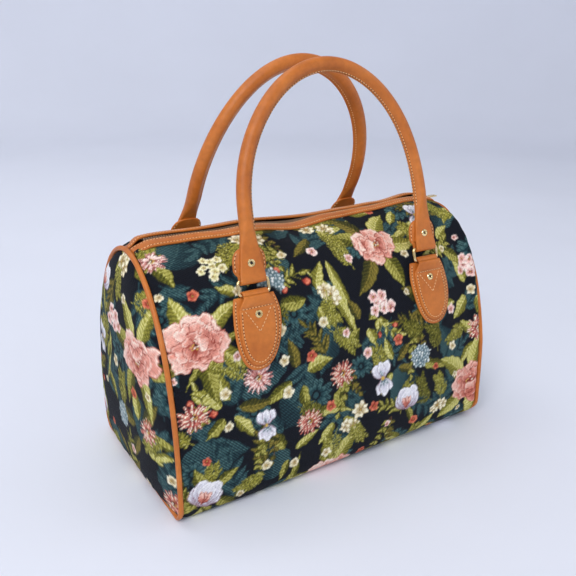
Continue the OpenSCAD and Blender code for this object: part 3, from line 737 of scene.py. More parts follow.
    def fill(self, low, high):
        """The whole design over a stretch of cloth. Counts are per square decimetre."""
        low, high = np.array(low), np.array(high)
        area = float(np.prod(high - low)) / 1e4
        draw = self.random.uniform
        self.teal_layer(low, high, area)
        big = self.place(low + 14, high - 14, 0.37 * area, 70)
        middle = self.place(low + 8, high - 8, 2.2 * area, 23, big)
        self.green_layer(low, high, area, big)
        for at in self.place(low, high, 2.4 * area, 13, big):
            self.sprig(at, draw(0, FULL_TURN), draw(26, 40), LIMES if draw(0, 1) < 0.75 else OLIVES,
                       draw(-0.8, 0.8))
        for k, at in enumerate(middle):
            self.small_bloom(at, k % 9)
        for k, at in enumerate(big):
            self.peony(at, draw(27, 33), (BLUSHES, SALMONS, BLUSHES)[k % 3], draw(0, 6), draw(0.74, 0.92))
        for at in self.place(low, high, 4.6 * area, 11, big + middle):
            self.blossom(at, draw(3.6, 6.2), (BLOSSOMS, CREAMS, CREAMS, BERRIES)[int(draw(0, 4))])
        self.colour *= self.random.normal(1.0, 0.08, len(self.colour))[:, None]


def weave(obj, picture, across, down):
    """Cloth coordinates and the picture's colours onto a mesh."""
    mesh = obj.data
    index = np.zeros(len(mesh.loops), dtype=np.int32)
    mesh.loops.foreach_get("vertex_index", index)
    uv = np.column_stack([np.ravel(across), np.ravel(down)])[index] * MM
    mesh.uv_layers.new(name="cloth").data.foreach_set("uv", uv.astype(np.float32).ravel())
    rgba = np.ones((len(mesh.vertices), 4), dtype=np.float32)
    rgba[:, :3] = np.clip(picture.colour, 0, 1)
    mesh.color_attributes.new("picture", "FLOAT_COLOR", "POINT").data.foreach_set("color", rgba.ravel())
    hatch = mesh.attributes.new("hatch", "FLOAT", "POINT")
    hatch.data.foreach_set("value", picture.hatch.astype(np.float32))


# Body surface: the arch, its lower edge and the base, with running length from the crown

ARCH_STEPS, BEND_STEPS, BASE_STEPS = 1200, 60, 80
ARCH = slice(0, ARCH_STEPS)


def body_profile():
    """Half of the body's section: distance from the middle plane, height and outward normal."""
    top = np.linspace(math.pi / 2, math.asin((BASE_R / BAG_H) ** (ARCH_N / 2)), ARCH_STEPS)
    w, z = ARCH_W * np.cos(top), BAG_H * np.sin(top) ** (2 / ARCH_N)
    n = unit(np.stack([2 * w / ARCH_W ** 2, ARCH_N * (z / BAG_H) ** (ARCH_N - 1) / BAG_H], -1))
    bend = np.linspace(0, math.pi / 2, BEND_STEPS)[1:]
    turn = np.column_stack([np.cos(bend), -np.sin(bend)])
    low = np.linspace(ARCH_W - BASE_R, SEAM_GAP / 2, BASE_STEPS)[1:]
    flat = np.zeros(len(low))
    table = np.concatenate([np.column_stack([w, z, n]),
                            np.column_stack([np.array([ARCH_W - BASE_R, BASE_R]) + BASE_R * turn, turn]),
                            np.column_stack([low, flat, flat, flat - 1])])
    return table, along(table[:, :2])


PROFILE, PROFILE_RUN = body_profile()


def run_at_width(w):
    """Running length at which the arch has that distance from the middle plane."""
    return float(np.interp(w, PROFILE[ARCH, 0], PROFILE_RUN[ARCH]))


def body_at(x, run, lift=0.0):
    """Points of the front face, at x and a running length from the crown, moved outwards by lift."""
    w, z, nw, nz = (np.interp(run, PROFILE_RUN, column) for column in PROFILE.T)
    up = np.maximum(nz, 0)
    reach = np.abs(x) / HALF_L
    between = 1 - reach ** 4
    foot = FOOT_SHARE * bell(z, 0, FOOT_H)
    fill = SHOULDER_FILL * between * bell(nz, SHOULDER_UP, SHOULDER_SPREAD)
    draw = SIDE_BULGE * (1 - between * (1 - foot)) * (1 - up * up) + TOP_DROP * reach ** 16 * up * up - fill
    return np.stack([x + 0 * w, -(w + nw * (lift - draw)), z + nz * lift - up * draw], -1)


def body_normal(x, run):
    nw, nz = (np.interp(run, PROFILE_RUN, column) for column in PROFILE.T[2:])
    return np.stack([0 * x, -nw, nz], -1)


# How the soft bag has settled: the places where a change starts and ends are along x, depth or height

CORNER_RISE, CORNER_H = 7.0, 38.0
RIGHT_TUCK, LEFT_DROOP, LEFT_PUSH = 4.5, 2.0, 2.6
FOOT_TUCK, FOOT_TUCK_H = 5.0, 20.0
RIGHT_ROLL, ROLL_SINK = 4.6, 2.6
CHAIN_RISE = 1.2
# Height of each soft zip edge above the plain arch, along the bag
CROWN = {"front": ((-186, 0), (-140, -2.5), (-100, -4), (-64, -2.5), (-18, -7), (30, -2.5), (80, -1),
                   (137, 3.5), (165, 3), (186, 0.5)),
         "back": ((-186, 0), (-110, -3), (-60, -1.5), (15, -5), (60, -3.5), (110, -1.5), (158, 4),
                  (186, 0.5))}


def settled(points):
    """The lower front edge rides up to the right, the base tucks under, and the left end droops."""
    x, y, z = np.moveaxis(points, -1, 0)
    rise = CORNER_RISE * eased(x, -HALF_L, HALF_L) * bell(np.maximum(z, 0), 0, CORNER_H) * eased(-y, 86, 104)
    tuck = RIGHT_TUCK * eased(x, 110, 190) * (1 - eased(z, 40, 170))
    droop = left_droop(x) * eased(z, 140, 230)
    under = FOOT_TUCK * (1 - np.clip(z / FOOT_TUCK_H, 0, 1)) ** 2 * eased(np.abs(y), 60, 90)
    return np.stack([x - tuck - left_push(x), y - np.sign(y) * under, z + rise - droop], -1)


def left_push(x):
    """The left end stands out a little further than the right."""
    return LEFT_PUSH * eased(-x, 60, 180)


def left_droop(x):
    return LEFT_DROOP * eased(-x, 105, 185)


def crown_sway(x, side):
    """The soft zip edges sag in the middle and stand up again at the right."""
    places, heights = np.array(CROWN[side], dtype=float).T
    i = np.clip(np.searchsorted(places, x) - 1, 0, len(places) - 2)
    return heights[i] + (heights[i + 1] - heights[i]) * eased(x, places[i], places[i + 1])


def chain_sway(x):
    """The zip's chain lies between the two edges, and on the plain arch by the slider."""
    between = 0.5 * (crown_sway(x, "front") + crown_sway(x, "back"))
    return (between + CHAIN_RISE) * (1 - eased(x, 100, 145)) * eased(x, -176, -146)


def shoulder(y, z):
    """The front shoulder of the right end, where the panel rolls over the piping."""
    return eased(-y, 15, 40) * eased(z, 90, 150)


# Front and back panel

CLOTH_STEP = 1.16
SEAM_IN, SEAM_IN_W = 1.3, 4.5
SLACK, SLACK_SIZE, PUCKER = 0.9, 90, 0.55
TAB_RUN = run_at_width(84)
RING_SHADE_RUN = run_at_width(77)
PANEL_START, PANEL_TURN, PANEL_END = run_at_width(SLOT_HALF), PROFILE_RUN[-BASE_STEPS], PROFILE_RUN[-1]


def panel_lift(side, x, run, seed):
    """How far the cloth stands off the plain body: drawn-in seams, slack, puckers and the right roll."""
    edge = PANEL_HALF_L - np.abs(x)
    near_tab = np.exp(-(((np.abs(x) - TAB_X) / 34) ** 4 + ((run - TAB_RUN) / 46) ** 4))
    foot = smooth((PANEL_TURN - run) / 30)
    loose = eased(run, PANEL_START, PANEL_START + 25) * foot
    lift = -SEAM_IN * bell(edge, 0, SEAM_IN_W)
    lift -= SLACK * (1 + waves(x, run, seed, SLACK_SIZE)) * (1 - near_tab) * loose
    lift += PUCKER * np.exp(-edge / 11) * np.sin(run / 2.3 + 2 * np.sin(run / 17 + seed)) * loose
    if side == "front":
        roll = RIGHT_ROLL * eased(x, 60, 160) * bell(edge, 8, 8) * foot * eased(run, 8, 53)
        lift += roll * (1 + bell(run, 75, 48)) * eased(edge, 0, 5)
        _, y, z = np.moveaxis(body_at(x, run), -1, 0)
        lift -= ROLL_SINK * shoulder(y, z) * eased(x, 0, 20) * bell(edge, 0, SEAM_IN_W)
    return lift


def main_panel(side, seed):
    sign = MIRROR[side][1]
    runs = np.arange(PANEL_START, PANEL_TURN, CLOTH_STEP)
    runs = np.concatenate([runs, np.linspace(PANEL_TURN, PANEL_END, 9)])
    xs = np.linspace(-PANEL_HALF_L, PANEL_HALF_L, int(2 * PANEL_HALF_L / CLOTH_STEP))
    x, run = np.meshgrid(xs, runs, indexing="ij")
    points = body_at(x, run, panel_lift(side, x, run, seed))
    fade = run_at_width(BAND_OUT)
    points[..., 2] += crown_sway(x, side) * (1 - eased(run, fade, fade + 50))
    points = settled(points).reshape(-1, 3) * MIRROR[side]
    shape = points, grid_faces(len(xs), len(runs))
    obj = make_piece(side + "_panel_cloth", shape, TAPESTRY, side == "front")
    picture = Picture(sign * x, -run, seed)
    picture.fill((-PANEL_HALF_L, -PANEL_TURN - 14), (PANEL_HALF_L, -PANEL_START))
    # Painted shade on the cloth behind each ring, darker than the bare ground.
    for place in (-TAB_X, TAB_X):
        picture.plain((sign * place + 12, -RING_SHADE_RUN), 23, 14)
    weave(obj, picture, sign * x, -run)
    declare(obj, "tapestry", "bag", side + "_panel")


# Ends: domed cloth inside a piped rim

END_ROWS, END_COLS = 184, 160
END_TIP_HALF = 0.4
CORD_R, CORD_SIDES = 2.5, 18


def end_rim(inset, inset_below, steps=260):
    """Front half of an end's rim from crown to base, as distance from the middle plane and height."""
    run = np.linspace(0, PROFILE_RUN[-1], steps)
    below = np.maximum(-np.interp(run, PROFILE_RUN, PROFILE[:, 3]), 0)
    p = body_at(np.full(steps, HALF_L), run, -inset - (inset_below - inset) * below)
    return np.column_stack([np.maximum(-p[:, 1], 0), p[:, 2]])


def end_dome(seed):
    """A grid inside the rim: distance from the middle plane, height and how far it swells out."""
    rim = end_rim(PIPING_SINK + 0.6 * PIPING_R, 1.5 * PIPING_R)
    widest = np.argmax(rim[:, 0])
    top, floor_z = rim[0, 1], rim[-1, 1]
    z = floor_z + (top - floor_z) * (1 - (1 - np.linspace(0, 1, END_ROWS)) ** 1.35)
    above, below = (np.interp(z, part[::-1, 1], part[::-1, 0]) for part in (rim[:widest + 1], rim[widest:]))
    half = np.where(z >= rim[widest, 1], above, below)
    half[-1] = END_TIP_HALF
    half = half[:, None]
    share = np.linspace(-1, 1, END_COLS)[None, :]
    y, z = half * share, np.repeat(z[:, None], END_COLS, 1)
    tall = (z - floor_z) / (top - floor_z)
    dome = (1 - np.abs(share) ** 3.4) ** 0.7 * (1 - np.abs(2 * tall ** 0.85 - 1) ** 4.2) ** 0.7
    edge = np.minimum((1 - np.abs(share)) * half, np.minimum(z - floor_z, (top - z) * 1.4))
    swell = END_BULGE * dome + 0.9 * waves(y, z, seed, 70) * dome
    swell += 0.5 * np.exp(-edge / 9) * np.sin(z / 2.4 + y / 3.1) * eased(edge, 0, 3)
    return y, z, swell


def end_panel(side, sign, seed):
    y, z, swell = end_dome(seed)
    points = settled(np.stack([sign * (HALF_L - 0.4 + swell), y, z], -1)).reshape(-1, 3)
    obj = make_piece(side + "_end_cloth", (points, grid_faces(END_ROWS, END_COLS)), TAPESTRY, sign > 0)
    picture = Picture(sign * y, z, seed)
    picture.fill((-106, -4), (106, 246))
    weave(obj, picture, sign * y, z)
    declare(obj, "tapestry", "bag", side + "_end_panel")


def piping(side, sign):
    half = end_rim(PIPING_SINK - 0.3, PIPING_R, 200)
    loop = np.concatenate([half * np.array([-1, 1]), half[-2:0:-1]])
    step = unit(np.roll(loop, -1, 0) - np.roll(loop, 1, 0))
    out = np.column_stack([step[:, 1], -step[:, 0]])
    if sign > 0:
        inward = unit(np.array([0.0, 100.0]) - loop)
        loop = loop + ROLL_SINK * shoulder(*loop.T)[:, None] * inward
    t = circle(CORD_SIDES)
    rings = []
    for p, o, run in zip(loop, out, along(loop)):
        swell = 1 + 0.018 * math.sin(run / 7.0) + 0.014 * math.sin(run / 2.9 + 1)
        r = CORD_R * swell * (1 - 0.1 * bell(t, 0.8 * math.pi, 0.25))
        reach = r * np.cos(t)
        x = sign * (HALF_L + r * np.sin(t))
        rings.append(np.column_stack([x, p[0] + reach * o[0], p[1] + reach * o[1]]))
    points, faces = tube_mesh(rings, closed=True)
    leather_piece(side + "_piping_leather", (settled(points), faces), "bag", side + "_piping")


# Zip: tapes and teeth along the soft crown, and leather bands with two rows of stitching each

BAND_LEFT, BAND_RIGHT = 19.0, 15.5
BAND_ROW, BAND_ROUND, BAND_GROOVE = 2.2, 0.9, 0.25
BAND_END_IN, BAND_END_DROP = 3.4, 3.0
CHAIN_HALF = HALF_L - 14.0
TAPE_Z, TAPE_T, TAPE_OUT, TAPE_IN = 247.0, 0.7, 11.1, 4.0
ROW_IN, ROW_W, TOOTH_PITCH = 0.6, 3.2, 2.5
TOOTH = np.array([(-0.75, -1.0), (-0.5, -1.25), (0.5, -1.25), (0.75, -1.0)])


def small_waves(x):
    return 0.15 * np.sin(x / 31.0) + 0.1 * np.sin(x / 13.0 + 1) - left_droop(x)


def zip_height(x):
    return TAPE_Z + chain_sway(x) + small_waves(x)


def zip_tape(side):
    section = np.array([(-TAPE_OUT, 0), (-TAPE_IN, 0), (-TAPE_IN, -TAPE_T), (-TAPE_OUT, -TAPE_T)])
    rings = [np.column_stack([np.full(4, x), section[:, 0], zip_height(x) + section[:, 1]])
             for x in np.linspace(-CHAIN_HALF, CHAIN_HALF, 200)]
    name = side + "_zip_tape"
    obj = make_piece(name + "_soft", tube_mesh(np.array(rings) * MIRROR[side]), ZIP_TAPE)
    declare(obj, "zip_tape", "bag", name)


def zip_teeth(side):
    """A row of teeth, half a pitch further along on the back."""
    start = -CHAIN_HALF + 1.2 + (0 if side == "front" else TOOTH_PITCH / 2)
    outline = np.concatenate([TOOTH, -TOOTH])
    stations = ((-ROW_IN - ROW_W, 0.8), (-ROW_IN - ROW_W + 0.3, 1.0), (-ROW_IN - 0.3, 1.0), (-ROW_IN, 0.7))
    teeth = []
    for x in np.arange(start, CHAIN_HALF - 1.5, TOOTH_PITCH):
        z = zip_height(x) - TAPE_T / 2
        rings = [np.column_stack([x + k * outline[:, 0], np.full(8, y), z + k * outline[:, 1]])
                 for y, k in stations]
        teeth.append(tube_mesh(np.array(rings) * MIRROR[side]))
    name = side + "_zip_teeth"
    declare(make_piece(name + "_soft", joined(teeth), ZIP_TEETH), "zip_teeth", "bag", name)


def band_section(lo, hi):
    """Section of a leather band, with a shallow groove along each row of stitches."""
    low, full = BAND_T - BAND_GROOVE, BAND_T + 0.15
    corner = ((0.0, BAND_T - BAND_ROUND), (0.3, BAND_T - 0.3), (BAND_ROUND, BAND_T), (BAND_ROW, low),
              (4, full))
    outer = [(hi - u, h) for u, h in corner]
    inner = [(lo + u, h) for u, h in reversed(corner)]
    return np.array([(lo, 0.0), (hi, 0.0)] + outer + [((lo + hi) / 2, BAND_T + 0.25)] + inner)


def zip_band(side):
    lo, left, right = (run_at_width(w) for w in (BAND_IN, BAND_LEFT, BAND_RIGHT))
    xs = np.linspace(-PANEL_HALF_L, PANEL_HALF_L, 260)
    outer = left + (right - left) * eased(xs, 0, 120)
    end = np.abs(xs)
    rise = crown_sway(xs, side) + small_waves(xs) - BAND_END_DROP * eased(end, 172, 186)
    shift = np.column_stack([-left_push(xs), BAND_END_IN * eased(end, 175, 185), rise])
    rings = []
    for x, hi, move in zip(xs, outer, shift):
        run, lift = band_section(lo, hi).T
        rings.append((body_at(np.full(len(run), x), run, SKIN_GAP + lift) + move) * MIRROR[side])
    leather_piece(side + "_zip_band_leather", tube_mesh(rings), "bag", side + "_zip_band")
    rows = []
    for run in (np.full(len(xs), lo + BAND_ROW), outer - BAND_ROW):
        route = body_at(xs, run, SKIN_GAP + BAND_T - BAND_GROOVE) + shift
        rows.append(stitch_row(route * MIRROR[side], body_normal(xs, run) * MIRROR[side]))
    sew(side + "_zip_band_stitches", rows, "bag")


# Tabs: leather layers bent to the body, and the strap loop round each ring

def tab_frame():
    """Middle, radius and tilt of the cylinder that the tabs lie on, through three places of the face."""
    def face(z, off):
        run = float(np.interp(-z, -PROFILE[ARCH, 1], PROFILE_RUN[ARCH]))
        return body_at(np.array(TAB_X), np.array(run), off)[1:]

    half = BACKING_L / 2
    a, b, c = face(TAB_Z - half, 0), face(TAB_Z, 0.4 * TAB_STAND), face(TAB_Z + half, TAB_STAND)
    d = 2 * (a[0] * (b[1] - c[1]) + b[0] * (c[1] - a[1]) + c[0] * (a[1] - b[1]))
    aa, bb, cc = a @ a, b @ b, c @ c
    centre = np.array([(aa * (b[1] - c[1]) + bb * (c[1] - a[1]) + cc * (a[1] - b[1])) / d,
                       (aa * (c[0] - b[0]) + bb * (a[0] - c[0]) + cc * (b[0] - a[0])) / d])
    radius = np.linalg.norm(b - centre)
    return centre, radius, math.degrees(math.asin((b[1] - centre[1]) / radius))


TAB_C, TAB_R, TAB_UP = tab_frame()
TAB_SPLAY, EAR_RISE = 0.085, 2.5
BACKING_IN = TAB_R + TAB_GAP
BACKING_LO, BACKING_HI, BACKING_SHARE = -BACKING_L / 2, BACKING_L / 2 + EAR_RISE, 0.84
TONGUE_IN = BACKING_IN + LEATHER_T + LAYER_GAP
RAIL_V = BACKING_L / 2 + LOOP_R + 0.7
RAIL_N = math.sqrt((BACKING_IN + LOOP_R) ** 2 - RAIL_V ** 2)
EYELET_V, EYELET_HOLE_R, EYELET_HOLE_SIDES = RAIL_V - 18.5, 1.62, 20
ROW_V, ROW_SHARE, ROW_INSET = EYELET_V + 6.5, 0.95, 2.4
TONGUE_W, TONGUE_LO = BACKING_W - 2 * TAB_BORDER, BACKING_LO + TAB_BORDER
POINT_HALF, POINT_V = 13.5, EYELET_V - 16
EDGE_R, LEATHER_CROWN = 0.7, 0.12
THREAD_RISE = 0.02


def leaning(points, x, yz, lean, side):
    """Local x, height up the face and distance out of it, placed on the front or back of the bag."""
    u, v, n = np.moveaxis(np.asarray(points, dtype=float), -1, 0)
    c, s = math.cos(math.radians(lean)), math.sin(math.radians(lean))
    return np.stack([x + u, yz[0] + v * s - n * c, yz[1] + v * c + n * s], -1) * MIRROR[side]


def turned(vectors, lean, side):
    return leaning(vectors, 0, (0, 0), lean, side)


def ribbon(path, half_widths):
    """Leather strip with rounded edges, its inner face along a route of [height, distance out]."""
    ahead = unit(np.gradient(path, axis=0))
    rings = []
    for p, (up, out), half in zip(path, ahead, half_widths):
        r = min(EDGE_R, half * 0.8)
        crown = LEATHER_T + LEATHER_CROWN
        left = [(-half, 0.15 * LEATHER_T), (-half, LEATHER_T - r), (-half + 0.3 * r, LEATHER_T - 0.3 * r),
                (-half + r, LEATHER_T), (-half * 0.55, crown)]
        right = [(-u, h) for u, h in reversed(left)]
        section = left + [(0, crown)] + right + [(half - 0.3 * r, 0), (-half + 0.3 * r, 0)]
        rings.append([(u, p[0] - h * out, p[1] + h * up) for u, h in section])
    return tube_mesh(rings)


def bent(v, radius):
    """Route along the tab's cylinder at that radius: [height, distance out]."""
    turn = np.arcsin(np.asarray(v) / TAB_R)
    return np.column_stack([radius * np.sin(turn), radius * np.cos(turn)])


def arc(middle, radius, start, end, steps):
    """Route round a wire, by degrees from straight out."""
    turn = np.radians(np.linspace(start, end, steps))
    return np.array(middle) + radius * np.column_stack([np.sin(turn), np.cos(turn)])


def tongue_half(v, w, lo, hi, top_share):
    """Half width of a layer with a round lower end, narrowing a little above its shoulder."""
    bulge = hi - 0.32 * (hi - lo)
    low = np.clip((bulge - v) / (bulge - lo), 0, 1)
    high = np.clip((v - bulge) / (hi - bulge), 0, 1)
    return np.where(v < bulge, w / 2 * (1 - low ** 2) ** 0.4, w / 2 * (1 - (1 - top_share) * high ** 2))


def spaced_from_tip(lo, hi, steps):
    return lo + (hi - lo) * np.linspace(0, 1, steps) ** 1.8


def splayed(x, u, v):
    """Places across a tab, turned away from the bag's middle below the eyelet."""
    return u + math.copysign(TAB_SPLAY, x) * np.maximum(EYELET_V - v, 0)


def backing():
    v = spaced_from_tip(BACKING_LO, BACKING_HI, 60)
    return ribbon(bent(v, BACKING_IN), tongue_half(v, BACKING_W, BACKING_LO, BACKING_HI, BACKING_SHARE))


def tongue():
    """The upper layer, folded up from its top row of stitches into a strap round the ring's lower wire."""
    v = spaced_from_tip(TONGUE_LO, ROW_V, 60)
    half = tongue_half(v, TONGUE_W, TONGUE_LO, ROW_V, ROW_SHARE)
    rise = np.linspace(0, 1, 9)[1:]
    fold = bent(ROW_V + rise * (RAIL_V - 3.2 - ROW_V), TONGUE_IN)
    fold[:, 1] += 3.6 * np.sin(rise * math.pi / 2) ** 0.8
    fold_half = half[-1] + (STRAP_W / 2 - half[-1]) * rise ** 1.15
    rail = np.array([RAIL_V, RAIL_N])
    loop = arc(rail, WIRE_R + WIRE_GAP, -20, 190, 22)
    tail = rail + np.array([[-3.0, -2.2], [-6.0, -2.6]])
    path = np.concatenate([bent(v, TONGUE_IN), fold, loop, tail])
    return ribbon(path, np.concatenate([half, fold_half, np.full(len(loop) + len(tail), STRAP_W / 2)]))


def border(w, low, high, share, inset, start):
    """A line of stitches along a layer's edge, drawn flat as [across, height]."""
    v = spaced_from_tip(low + inset, start, 50)
    spread = low + (v - low - inset) * (high - low) / (high - low - inset)
    half = np.maximum(tongue_half(spread, w, low, high, share) - inset, 0)
    return np.concatenate([np.column_stack([-half, v])[::-1], np.column_stack([half, v])[1:]])


def tab_rows():
    """A tab's rows of stitches drawn flat, each with the radius of the layer it lies on."""
    backing_face, tongue_face = (inner + LEATHER_T + THREAD_RISE for inner in (BACKING_IN, TONGUE_IN))
    yield border(BACKING_W, BACKING_LO, BACKING_HI, BACKING_SHARE, 2.2, BACKING_L / 2), backing_face
    yield border(TONGUE_W, TONGUE_LO, ROW_V, ROW_SHARE, ROW_INSET, ROW_V - 2.5), tongue_face
    half = TONGUE_W / 2 * ROW_SHARE - ROW_INSET
    yield np.column_stack([np.linspace(-half, half, 30), np.full(30, ROW_V - 0.8)]), tongue_face
    down = np.linspace(0, 1, 20)[:, None]
    for sign in (-1, 1):
        start, end = np.array([sign * POINT_HALF, ROW_V - 2.5]), np.array([0, POINT_V])
        yield start * (1 - down) + end * down, tongue_face


def tab(side, hand):
    x = TAB_X if hand == "right" else -TAB_X
    name = side + "_" + hand

    def put(points):
        return leaning(points, x, TAB_C, TAB_UP, side)

    for layer, (points, faces) in (("_backing", backing()), ("_tongue", tongue())):
        points[:, 0] = splayed(x, points[:, 0], points[:, 1])
        leather_piece(name + layer + "_leather", (put(points), faces), "bag", name + layer)
    rows = []
    for flat, radius in tab_rows():
        route = np.column_stack([splayed(x, flat[:, 0], flat[:, 1]), bent(flat[:, 1], radius)])
        normals = np.column_stack([0 * flat[:, 0], bent(flat[:, 1], 1)])
        rows.append(stitch_row(put(route), turned(normals, TAB_UP, side)))
    sew(name + "_tab_stitches", rows, "bag")
    level = math.sqrt((TONGUE_IN + LEATHER_T) ** 2 - EYELET_V ** 2)
    # Painted shade: a dark disc inside the tab's eyelet, where its hole is in shadow.
    eyelet_hole_shades(name + "_tab_eyelet_hole_shade", [put(disc((0, EYELET_V, level + 0.35)))], "bag")


def disc(at):
    t = circle(EYELET_HOLE_SIDES)
    return np.array(at) + EYELET_HOLE_R * np.column_stack([np.cos(t), np.sin(t), 0 * t])


def eyelet_hole_shades(name, discs, body):
    """Painted shade: dark discs that close the eyelets' holes, where the holes lie in shadow."""
    declare(make_piece(name, flat_faces(discs), HOLE_SHADE), "leather", body)


# Handles: rolled leather with a sewn edge inside, flattened into straps that fold round the rings

FLAT_L, MORPH_L = 26.0, 30.0
CURL_FROM, SLUMP_FROM = 30.0, 70.0
STRAP_T = 2 * LEATHER_T + 0.6
SEAM_FIN = {"front": 1.3, "back": 3.4}
SEAM_HALF_T = 1.75
PATCH_IN, PATCH_EDGE, PATCH_ROW = STRAP_T / 2 - 0.4, 4.0, 1.8
HANDLE_EYELET_V = 15.0
HANDLE_SIDES = 36
# How far each handle has moved to the right, and how far its top has slumped to the right and down
HANDLE_SWAY = {"front": 2.5, "back": 5.6}
HANDLE_SLUMP = {"front": (3.5, 5.0), "back": (2.0, 0.0)}
RAIL_YZ = leaning((0, RAIL_V, RAIL_N), 0, TAB_C, TAB_UP, "front")[1:]


def handle_lean(side):
    """Lean in degrees that brings the handle's top to its set distance from the middle plane."""
    stand, curl = RING_RISE + HANDLE_RISE, HANDLE_CURL[side]
    reach = (-RAIL_YZ[0] - HANDLE_TOP_Y[side]) / math.hypot(stand, curl)
    return math.degrees(math.asin(reach) + math.atan(curl / stand))


def handle_route():
    leg = np.linspace(7, LEG_L, 30)
    turn = np.radians(np.linspace(180, 0, 121))[1:-1]
    left = np.column_stack([np.full(30, -TAB_X), leg])
    bow = np.column_stack([TAB_X * np.cos(turn), LEG_L + (HANDLE_RISE - LEG_L) * np.sin(turn)])
    return np.concatenate([left, bow, left[::-1] * np.array([-1, 1])])


ROUTE = handle_route()
ROUTE_AHEAD = unit(np.gradient(ROUTE, axis=0))
ROUTE_OUT = np.column_stack([-ROUTE_AHEAD[:, 1], ROUTE_AHEAD[:, 0]])


def handle_shift(side, height):
    """Move of the handle at a height: to the right, up, and out of its plane."""
    right, down = HANDLE_SLUMP[side]
    slump = eased(height, SLUMP_FROM, HANDLE_RISE)
    sway = HANDLE_SWAY[side] * np.tanh(np.maximum(height - 4, 0) / 45)
    curl = HANDLE_CURL[side] * (np.maximum(height - CURL_FROM, 0) / (HANDLE_RISE - CURL_FROM)) ** 2
    return np.stack([sway + right * slump, -down * slump, curl], -1)


def strap_half(height):
    """Half width of the handle's strap, which narrows from the ring up to the rolled tube."""
    return np.interp(height, [4, 15, 30, 45, 56], [STRAP_W, 22.0, 18.5, 15.5, HANDLE_D]) / 2


def patch_half(height):
    """Half width of the layer behind the strap's end, with sloping shoulders."""
    stations = [4, 7, 10, 18, 21, 23.5, 26, 28, 29.3, 30]
    edges = [0.0, 0.7, 1.0, 1.0, 0.85, 0.6, 0.2, -0.4, -1.1, -1.9]
    return STRAP_W / 2 + PATCH_EDGE * np.interp(height, stations, edges)


def handle_tube(side):
    """The handle's skin: a flat strap at both ends, and a rolled tube with a sewn fin inside the bow."""
    t = FULL_TURN * (np.arange(HANDLE_SIDES) + 0.5) / HANDLE_SIDES
    c, s = np.cos(t), np.sin(t)
    inside = np.maximum(-c, 0)
    strap = np.column_stack([np.sign(c) * np.abs(c) ** 0.35, STRAP_T / 2 * np.sign(s) * np.abs(s) ** 0.4])
    rolled = np.column_stack([HANDLE_D / 2 * c - SEAM_FIN[side] * inside ** 14,
                              HANDLE_D / 2 * s * (1 - 0.42 * inside ** 5)])
    rings = []
    for p, out in zip(ROUTE, ROUTE_OUT):
        share = eased(p[1], FLAT_L, FLAT_L + MORPH_L)
        across, thick = (strap * np.array([strap_half(p[1]), 1]) * (1 - share) + rolled * share).T
        ring = np.column_stack([p[0] + across * out[0], p[1] + across * out[1], thick])
        rings.append(ring + handle_shift(side, p[1]))
    return tube_mesh(rings)


def strap_end(side, x):
    """The strap's loop round the ring's upper wire, and the wider layer that comes up behind."""
    flush = STRAP_T / 2 - LEATHER_T
    front = np.array([[5.0, 1.3], [8.0, 0.75], [11.0, flush + 0.12], [14.0, flush - 0.1],
                      [18.0, flush - 0.5], [20.0, flush - 1.0]])
    loop = arc((0, 0), WIRE_R + WIRE_GAP, -200, 20, 26)
    up = np.array([30.0, 29.6, 29.0, 28.0, 27.0, 26.0, 24.5, 23.0, 21.0, 18.0, 14.0, 10.0, 7.0, 4.0])
    back = np.column_stack([up, np.full(len(up), -PATCH_IN)])
    widths = [patch_half(up), np.full(len(loop), STRAP_W / 2 - 0.05), strap_half(front[:, 0]) - 0.05]
    points, faces = ribbon(np.concatenate([back, loop, front]), np.concatenate(widths))
    return points + handle_shift(side, points[:, 1]) + np.array([x, 0, 0]), faces


def seam_rows(side):
    """Places and normals of the stitches on both faces of the fin inside the bow."""
    upper = ROUTE[:, 1] > FLAT_L + MORPH_L * 0.55
    line, out = ROUTE[upper], ROUTE_OUT[upper]
    for face in (-1, 1):
        level = np.full(len(line), face * SEAM_HALF_T)
        place = np.column_stack([line - out * (HANDLE_D / 2 + 0.3), level]) + handle_shift(side, line[:, 1])
        yield place, np.column_stack([-0.25 * out, np.full(len(line), face)])


def patch_rows(side):
    """Places and normals of the stitches along both edges of the layer behind each strap's end."""
    v = np.linspace(8, FLAT_L, 24)
    for x in (-TAB_X, TAB_X):
        for hand in (-1, 1):
            for level, face in ((0.02 - PATCH_IN, 1), (-PATCH_IN - LEATHER_T - 0.1, -1)):
                flat = np.column_stack([x + hand * (patch_half(v) - PATCH_ROW), v, np.full(len(v), level)])
                yield flat + handle_shift(side, v), np.tile([0, 0, face], (len(v), 1))


def handle(side):
    lean, body = handle_lean(side), side + "_handle"
    rail = RAIL_YZ + RING_RISE * np.array([math.sin(math.radians(lean)), math.cos(math.radians(lean))])

    def put(points):
        return leaning(points, 0, rail, lean, side)

    points, faces = joined([handle_tube(side), strap_end(side, -TAB_X), strap_end(side, TAB_X)])
    leather_piece(side + "_handle_leather", (put(points), faces), body, side + "_handle")
    # Painted shade: dark discs inside the handle's eyelets, where their holes are in shadow.
    discs = [put(disc((x, HANDLE_EYELET_V, STRAP_T / 2 + 0.2))) for x in (-TAB_X, TAB_X)]
    eyelet_hole_shades(side + "_handle_eyelet_holes", discs, body)
    rows = [*seam_rows(side), *patch_rows(side)]
    sew(side + "_handle_stitches", [stitch_row(put(p), turned(n, lean, side)) for p, n in rows], body)


# Build the pieces

main_panel("front", 11)
main_panel("back", 29)
end_panel("left", -1, 5)
end_panel("right", 1, 17)
piping("left", -1)
piping("right", 1)
for side in SIDES:
    zip_band(side)
    zip_tape(side)
    zip_teeth(side)
    for hand in ("left", "right"):
        tab(side, hand)
    handle(side)


def dress(material, *names):
    for name in names:
        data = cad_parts[name].data
        data.materials.clear()
        data.materials.append(material)


